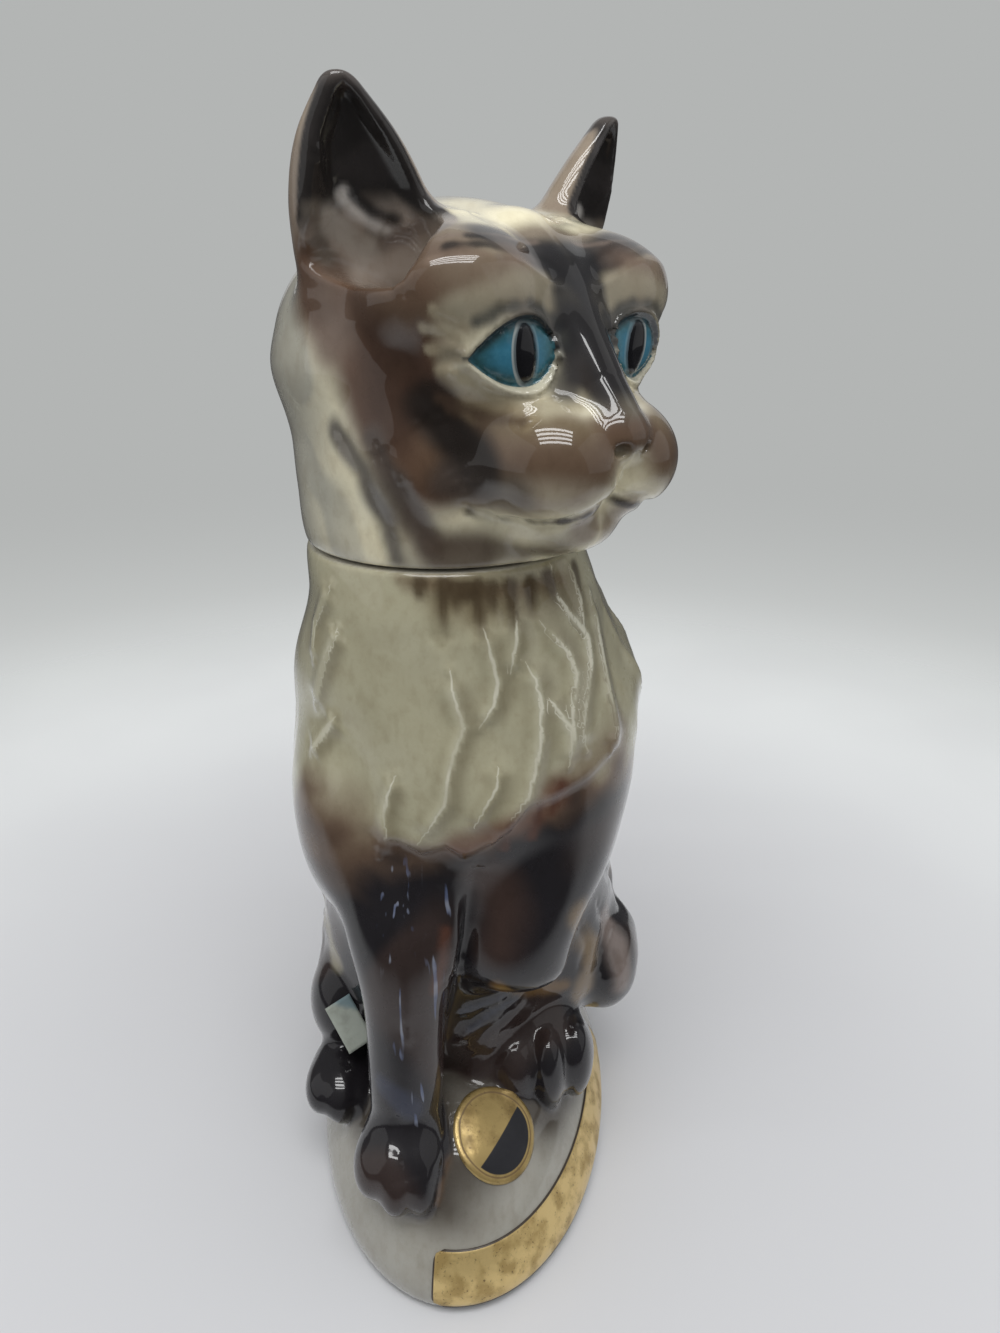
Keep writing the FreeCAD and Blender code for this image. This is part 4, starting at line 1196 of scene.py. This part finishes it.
def sheet_of(name, places, closed=False, facing=None, **marks):
    """A thin paper piece on a grid of places: close on the glaze, or stiff and flat if it faces one way."""
    rows, columns = places.shape[:2]
    flat = places.reshape(-1, 3)
    slope = np.tile(facing, (len(flat), 1)) if facing is not None else None
    for _ in range(2 if facing is None else 0):
        flat, slope = drawn_to(vessel_field, flat, 1.0)
    outward = (slope / np.linalg.norm(slope, axis=1)[:, None]).reshape(places.shape)
    flat = flat.reshape(places.shape)
    lift = marks.pop("lift", np.zeros((rows, columns)))[..., None]
    pad = ((0, 1), (0, 0), (0, 0)) if closed else ((1, 1), (1, 1), (0, 0))
    face = np.pad(flat + outward * (PASTE + PAPER + lift), pad, mode="edge")
    glued = np.pad(flat - outward * PASTE, pad, mode="edge")
    edge = np.pad(np.zeros((rows, columns, 1)), pad, constant_values=1)
    points = face + edge * (glued - face)
    rows, columns = points.shape[:2]
    number = np.arange(rows * columns).reshape(rows, columns)
    if closed:
        number = np.concatenate([number, number[:, :1]], 1)
    corners = (number[:-1, :-1], number[:-1, 1:], number[1:, 1:], number[1:, :-1])
    faces = np.stack(corners, -1).reshape(-1, 4)
    points = points.reshape(-1, 3)
    middle = faces[len(faces) // 2]
    turned = np.cross(points[middle[1]] - points[middle[0]], points[middle[3]] - points[middle[0]])
    if turned @ outward[outward.shape[0] // 2, outward.shape[1] // 2] < 0:
        faces = faces[:, ::-1]
    padded = {label: np.pad(mark, pad, mode="edge").reshape(-1, 3) for label, mark in marks.items()}
    return piece_from(name, points, faces, **padded)


def foil(name, drawn, fresh, rubbed):
    """Worn gold foil on paper: rubbed dull in blotches, a little creased, with what is drawn on it."""
    material, shader, wire = material_for(name, Coat_Weight=0.15, Coat_Roughness=0.2)
    place = own_place(wire)
    blotch = noise(place, 170.0, 6.0)
    speck = noise(place, 1400.0, 3.0)
    crease = noise(place, 420.0, 4.0)
    gold = blotch.rise(0.42, 0.68).mix(colour(*fresh), colour(*rubbed))
    gold = (speck.rise(0.58, 0.75) * blotch.rise(0.35, 0.6)).mix(gold, colour(*TARNISH))
    inked, cover = drawn(wire, marked(wire, "sheet", 1))
    bump = bumped(crease, 0.3, 0.0003)
    rough = 0.3 + 0.25 * blotch.rise(0.35, 0.75) + 0.15 * cover
    feed(shader, Base_Color=cover.mix(gold, inked), Metallic=0.6 - 0.55 * cover, Roughness=rough, Normal=bump)
    return material


half_x, half_y = at_height(np.array([(label_low[2] + label_high[2]) / 2]), PLINTH_OVALS)[2:]
angles = np.linspace(-0.5, 2.2, 2000)
steps = np.hypot(np.diff(half_x * np.sin(angles)), np.diff(half_y * np.cos(angles)))
lengths = np.concatenate([[0], np.cumsum(steps)])
label_start = np.interp(math.asin(label_low[0] / half_x[0]), angles, lengths)
label_end = np.interp(math.acos(-label_high[1] / half_y[0]), angles, lengths)
heights = np.linspace(0, label_height, LABEL_ROWS)
from_edge = np.minimum(heights, label_height - heights)
inset = LABEL_CORNER - np.sqrt(LABEL_CORNER**2 - np.maximum(LABEL_CORNER - from_edge, 0) ** 2)
shares = np.linspace(0, 1, LABEL_COLUMNS)
runs = (label_start + inset)[:, None] * (1 - shares) + (label_end - inset)[:, None] * shares
turns = np.interp(runs, lengths, angles)
levels = np.repeat(heights[:, None] + label_low[2], LABEL_COLUMNS, 1)
half_x, half_y = at_height(levels.ravel(), PLINTH_OVALS)[2:]
label_x = half_x.reshape(turns.shape) * np.sin(turns)
label_y = -half_y.reshape(turns.shape) * np.cos(turns)
label_places = np.stack([label_x, label_y, levels], -1)
label_marks = np.stack([runs - label_start, levels - label_low[2], np.zeros(runs.shape)], -1)


def label_rule(wire, sheet):
    """A dark rule along the label's edge: its colour and where it covers."""
    along, up = (one_axis(sheet, axis) for axis in (0, 1))
    ends = wire.math("MINIMUM", along, (label_end - label_start) - along)
    sides = wire.math("MINIMUM", up, label_height - up)
    rule = wire.math("MINIMUM", ends, sides).rise(0.55, 0.35)
    return colour(*RULE_INK), rule


label = sheet_of("gold_label", label_places, sheet=label_marks)
label.data.materials.append(foil("label_foil", label_rule, LABEL_GOLD, LABEL_RUBBED))
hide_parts("foil_label")
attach(label, "vessel")


# The seal is a round of embossed foil paper pasted on the slope of the plinth beside the raised paw.
# A raised gold rim runs round a field that is half gold and half black.
SEAL_RADIUS = 12.4
SEAL_ROOT = np.array((6.6, -49.1, 28.1))
SEAL_AXIS = np.array((0.456, -0.489, 0.743))
SEAL_RIM = 11.4
SEAL_FIELD = 10.4
SEAL_SPLIT = math.radians(-72)
SEAL_SPLIT_AT = 0.8
SEAL_RINGS = 18
SEAL_TURNS = 72
SEAL_RIM_HEIGHT = 0.3
SEAL_RIM_WIDTH = 0.6
SEAL_GOLD = (178, 154, 100)
SEAL_RUBBED = (138, 116, 70)
SEAL_BLACK = (24, 24, 30)
SEAL_BROWN = (96, 74, 42)
seal_across = np.cross((0, 0, 1), SEAL_AXIS)
seal_across /= np.linalg.norm(seal_across)
seal_up = np.cross(SEAL_AXIS, seal_across)
radii = np.linspace(0.05, SEAL_RADIUS, SEAL_RINGS)
rings, turns = np.meshgrid(radii, np.arange(SEAL_TURNS) * math.tau / SEAL_TURNS, indexing="ij")
seal_a, seal_b = rings * np.cos(turns), rings * np.sin(turns)
starts = SEAL_ROOT + seal_a[..., None] * seal_across + seal_b[..., None] * seal_up + 20 * SEAL_AXIS
seal_places = cast(vessel_field, starts.reshape(-1, 3), -SEAL_AXIS).reshape(starts.shape)
seal_marks = np.stack([seal_a, seal_b, rings], -1)
seal_lift = SEAL_RIM_HEIGHT * np.exp(-(((rings - SEAL_RIM) / SEAL_RIM_WIDTH) ** 2))


def seal_field(wire, sheet):
    """The black half of the seal's field and the dark ring inside its rim."""
    a, b, reach = (one_axis(sheet, axis) for axis in range(3))
    side = a * math.cos(SEAL_SPLIT) + b * math.sin(SEAL_SPLIT)
    black = side.rise(SEAL_SPLIT_AT, SEAL_SPLIT_AT + 0.25) * reach.rise(SEAL_FIELD - 0.3, SEAL_FIELD - 0.5)
    ring = reach.rise(SEAL_FIELD, SEAL_FIELD + 0.15) * reach.rise(SEAL_FIELD + 0.6, SEAL_FIELD + 0.4)
    return ring.mix(colour(*SEAL_BLACK), colour(*SEAL_BROWN)), wire.math("MAXIMUM", black, ring * 0.8)


seal = sheet_of("gold_seal", seal_places, closed=True, sheet=seal_marks, lift=seal_lift)
seal.data.materials.append(foil("seal_foil", seal_field, SEAL_GOLD, SEAL_RUBBED))
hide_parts("foil_seal")
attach(seal, "vessel")


# The sticker is a plain slip of matt paper, stuck slanting on the right knee with its own gum.
# It is stiff enough to stay flat; it has grown grubby, and one corner is stained by damp.
STICKER_WIDTH = 8.2
STICKER_HEIGHT = 15.0
STICKER_COLUMNS = 10
STICKER_ROWS = 16
STICKER_PAPER = (164, 170, 160)
STICKER_GRIME = (134, 138, 128)
STICKER_DAMP = (104, 128, 136)
STICKER_TURN = math.radians(25)
STICKER_FACING = np.array((0.15, -0.78, 0.61))
sticker_low, sticker_high = (np.array(corner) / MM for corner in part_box("stock_sticker"))
sticker_middle = (sticker_low + sticker_high) / 2
across, up = np.meshgrid(np.linspace(-0.5, 0.5, STICKER_COLUMNS), np.linspace(-0.5, 0.5, STICKER_ROWS))
across, up = across * STICKER_WIDTH, up * STICKER_HEIGHT
level = np.cross((0, 0, 1), STICKER_FACING)
level /= np.linalg.norm(level)
rising = np.cross(STICKER_FACING, level)
along_edge = level * math.cos(STICKER_TURN) + rising * math.sin(STICKER_TURN)
up_edge = rising * math.cos(STICKER_TURN) - level * math.sin(STICKER_TURN)
sticker_places = sticker_middle + across[..., None] * along_edge + up[..., None] * up_edge
for _ in range(6):
    sticker_places = sticker_places - vessel_field(sticker_places.reshape(-1, 3)).min() * STICKER_FACING
sticker_marks = np.stack([across, up, np.zeros(across.shape)], -1)
sticker = sheet_of("plain_sticker", sticker_places, facing=STICKER_FACING, sheet=sticker_marks)
material, shader, wire = material_for("sticker_paper", Specular_IOR_Level=0.3)
place = own_place(wire)
sheet = marked(wire, "sheet", 1)
across, up = (one_axis(sheet, axis) for axis in (0, 1))
fibre = noise(place, 900.0, 5.0)
grime = noise(place, 220.0, 4.0)
paper_tone = (grime.rise(0.4, 0.75) * 0.7).mix(colour(*STICKER_PAPER), colour(*STICKER_GRIME))
damp = (across + up + grime * 3.0).rise(6.0, 9.0)
paper_tone = (damp * 0.8).mix(paper_tone, colour(*STICKER_DAMP))
bump = bumped(fibre, 0.2, 0.0002)
feed(shader, Base_Color=paper_tone, Roughness=0.6 + 0.25 * fibre, Normal=bump)
sticker.data.materials.append(material)
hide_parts("stock_sticker")
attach(sticker, "vessel")


# The plug is a plain unpainted china disc with a peg, cemented inside the head to carry the cork.
# It is thinly glazed, with pinholes and faint iron specks from the kiln.
CHINA_WHITE = (230, 226, 214)
CHINA_GREY = (208, 203, 190)
IRON_SPECK = (120, 100, 80)


def dress(node, material):
    """Put a finish on a solid that is shown as it is."""
    slots = frame["nodes"][node].data.materials
    slots.clear()
    slots.append(material)


material, shader, wire = material_for("plain_china", Coat_Weight=0.35, Coat_Roughness=0.12)
place = own_place(wire)
cloud = noise(place, 90.0, 4.0)
speck = wire.node("ShaderNodeTexVoronoi", None, {"Vector": place, "Scale": 420.0})
china = cloud.rise(0.35, 0.7).mix(colour(*CHINA_WHITE), colour(*CHINA_GREY))
china = (speck.rise(0.12, 0.05) * cloud.rise(0.5, 0.6)).mix(china, colour(*IRON_SPECK))
bump = bumped(cloud, 0.2, 0.0003)
feed(shader, Base_Color=china, Roughness=0.35 + 0.25 * cloud, Normal=bump)
dress("stopper_plug", material)


# The cement is a rough buff bead, pressed in round the plug while soft to bond it into the head's skirt.
# It has set hard and matt, gritty and patchy in colour.
CEMENT_BUFF = (206, 196, 174)
CEMENT_DULL = (172, 160, 138)
CEMENT_GRIT = (120, 108, 92)
material, shader, wire = material_for("cement", Specular_IOR_Level=0.25)
place = own_place(wire)
grit = noise(place, 700.0, 6.0)
patch = noise(place, 120.0, 3.0)
buff = patch.rise(0.35, 0.7).mix(colour(*CEMENT_BUFF), colour(*CEMENT_DULL))
buff = (grit.rise(0.6, 0.75) * 0.6).mix(buff, colour(*CEMENT_GRIT))
bump = bumped(grit, 0.7, 0.0006)
feed(shader, Base_Color=buff, Roughness=0.8 + 0.15 * grit, Normal=bump)
dress("plug_cement", material)


# The cork is a turned and tapered sleeve of natural cork, pushed over the peg to seal the neck.
# It has dark pores, and a brown stain has soaked into its foot.
CORK_PALE = (188, 142, 94)
CORK_BROWN = (150, 104, 64)
CORK_PORE = (78, 50, 32)
CORK_STAIN = (96, 60, 42)
STAIN_EDGE = (0.192, 0.186)
material, shader, wire = material_for("cork", Specular_IOR_Level=0.2)
place = own_place(wire)
grain = noise(place, 260.0, 6.0)
cells = wire.node("ShaderNodeTexVoronoi", None, {"Vector": place, "Scale": 330.0})
pores = cells.rise(0.3, 0.12) * grain.rise(0.5, 0.62)
height = one_axis(place, 2)
bark = grain.rise(0.35, 0.7).mix(colour(*CORK_PALE), colour(*CORK_BROWN))
bark = pores.mix(bark, colour(*CORK_PORE))
bark = (height + grain * 0.006).rise(*STAIN_EDGE).mix(bark, colour(*CORK_STAIN))
bump = bumped(grain - pores * 0.6, 0.6, 0.0005)
feed(shader, Base_Color=bark, Roughness=0.75 + 0.2 * grain, Normal=bump)
dress("cork_sleeve", material)


# The studio: a white table that fades into a pale grey room.
# Soft lamps stand for a window with a slatted blind above the front and for windows at the sides and behind.
FLOOR_REACH = 1.5
FLOOR_FADE = (0.26, 0.62)
FLOOR_FRONT = (-0.11, -0.24)
FLOOR_NEAR_SHADED = (206, 207, 209)
FLOOR_FAR = (238, 241, 240)
floor_mesh = bpy.data.meshes.new("floor")
floor_corners = [(x * FLOOR_REACH, y * FLOOR_REACH, 0) for x, y in ((-1, -1), (1, -1), (1, 1), (-1, 1))]
floor_mesh.from_pydata(floor_corners, [], [(0, 1, 2, 3)])
floor = bpy.data.objects.new("floor", floor_mesh)
bpy.context.scene.collection.objects.link(floor)
floor_material, shader, wire = material_for("floor", Roughness=0.55)
place = own_place(wire)
away = wire.node("ShaderNodeVectorMath", {"operation": "LENGTH"}, {0: place}, output=1)
cloudy = noise(place, 6.0)
# Painted shade on the table: darker near the figure, and in soft patches
tabletop = away.rise(0.12, 0.42).mix(colour(*FLOOR_NEAR_SHADED), colour(*FLOOR_FAR))
feed(shader, Base_Color=(cloudy.rise(0.3, 0.7) * 0.3).mix(tabletop, colour(*FLOOR_NEAR_SHADED)))
clear = wire.node("ShaderNodeBsdfTransparent")
table = Wire(wire.tree, shader.outputs[0])
forward = one_axis(place, 1)
ended = wire.math("MAXIMUM", away.rise(*FLOOR_FADE), forward.rise(*FLOOR_FRONT))
faded = wire.node("ShaderNodeMixShader", None, {0: ended, 1: table, 2: clear})
wire.tree.links.new(faded.socket, wire.tree.nodes["Material Output"].inputs["Surface"])
floor_mesh.materials.append(floor_material)

# Lamps: place, aim, width and height in metres, and power in watts
LAMPS = {
    "blind_1": ((0.0, -0.46, 0.86), (0.0, 0.0, 0.12), (0.62, 0.055), 1.1),
    "blind_2": ((0.0, -0.36, 0.90), (0.0, 0.0, 0.12), (0.62, 0.055), 1.1),
    "blind_3": ((0.0, -0.26, 0.93), (0.0, 0.0, 0.12), (0.62, 0.055), 1.1),
    "blind_4": ((0.0, -0.16, 0.95), (0.0, 0.0, 0.12), (0.62, 0.055), 1.1),
    "left_window": ((-1.0, -0.3, 0.6), (0.0, 0.0, 0.15), (1.2, 1.1), 1.7),
    "right_window": ((1.0, -0.2, 0.6), (0.0, 0.0, 0.15), (1.2, 1.1), 1.3),
    "back_window": ((0.1, 1.0, 0.7), (0.0, 0.0, 0.15), (1.4, 0.9), 1.2),
}
for name, (where, target, (width, height), power) in LAMPS.items():
    lamp = bpy.data.objects.new(name, bpy.data.lights.new(name, "AREA"))
    lamp.data.shape = "RECTANGLE"
    lamp.data.size = width
    lamp.data.size_y = height
    lamp.data.energy = power
    lamp.location = where
    lamp.rotation_euler = (Vector(target) - Vector(where)).to_track_quat("-Z", "Y").to_euler()
    bpy.context.scene.collection.objects.link(lamp)

BACKDROP_LOW = (221, 224, 223)
BACKDROP_HIGH = (179, 181, 180)
ROOM_LOW = (0.28, 0.28, 0.285, 1)
ROOM_HIGH = (0.58, 0.58, 1.02 * 0.58, 1)
MIRRORED_LOW = (0.07, 0.07, 0.072, 1)
MIRRORED_HIGH = (0.19, 0.193, 0.197, 1)
world = bpy.data.worlds.new("studio")
bpy.context.scene.world = world
world.use_nodes = True
room = Wire(world.node_tree)
background = world.node_tree.nodes["Background"]
facing = room.node("ShaderNodeTexCoord")
height = one_axis(facing, 2)
backdrop = height.rise(-0.50, -0.18).mix(colour(*BACKDROP_LOW), colour(*BACKDROP_HIGH))
seen = room.node("ShaderNodeLightPath")
lit = height.rise(-0.3, 0.6).mix(ROOM_LOW, ROOM_HIGH)
mirrored_room = height.rise(-0.2, 0.9).mix(MIRRORED_LOW, MIRRORED_HIGH)
glossy = Wire(room.tree, seen.socket.node.outputs["Is Glossy Ray"])
room_colour = seen.mix(glossy.mix(lit, mirrored_room), backdrop)
room.tree.links.new(room_colour.socket, background.inputs["Color"])
bpy.context.scene.view_settings.view_transform = "Standard"
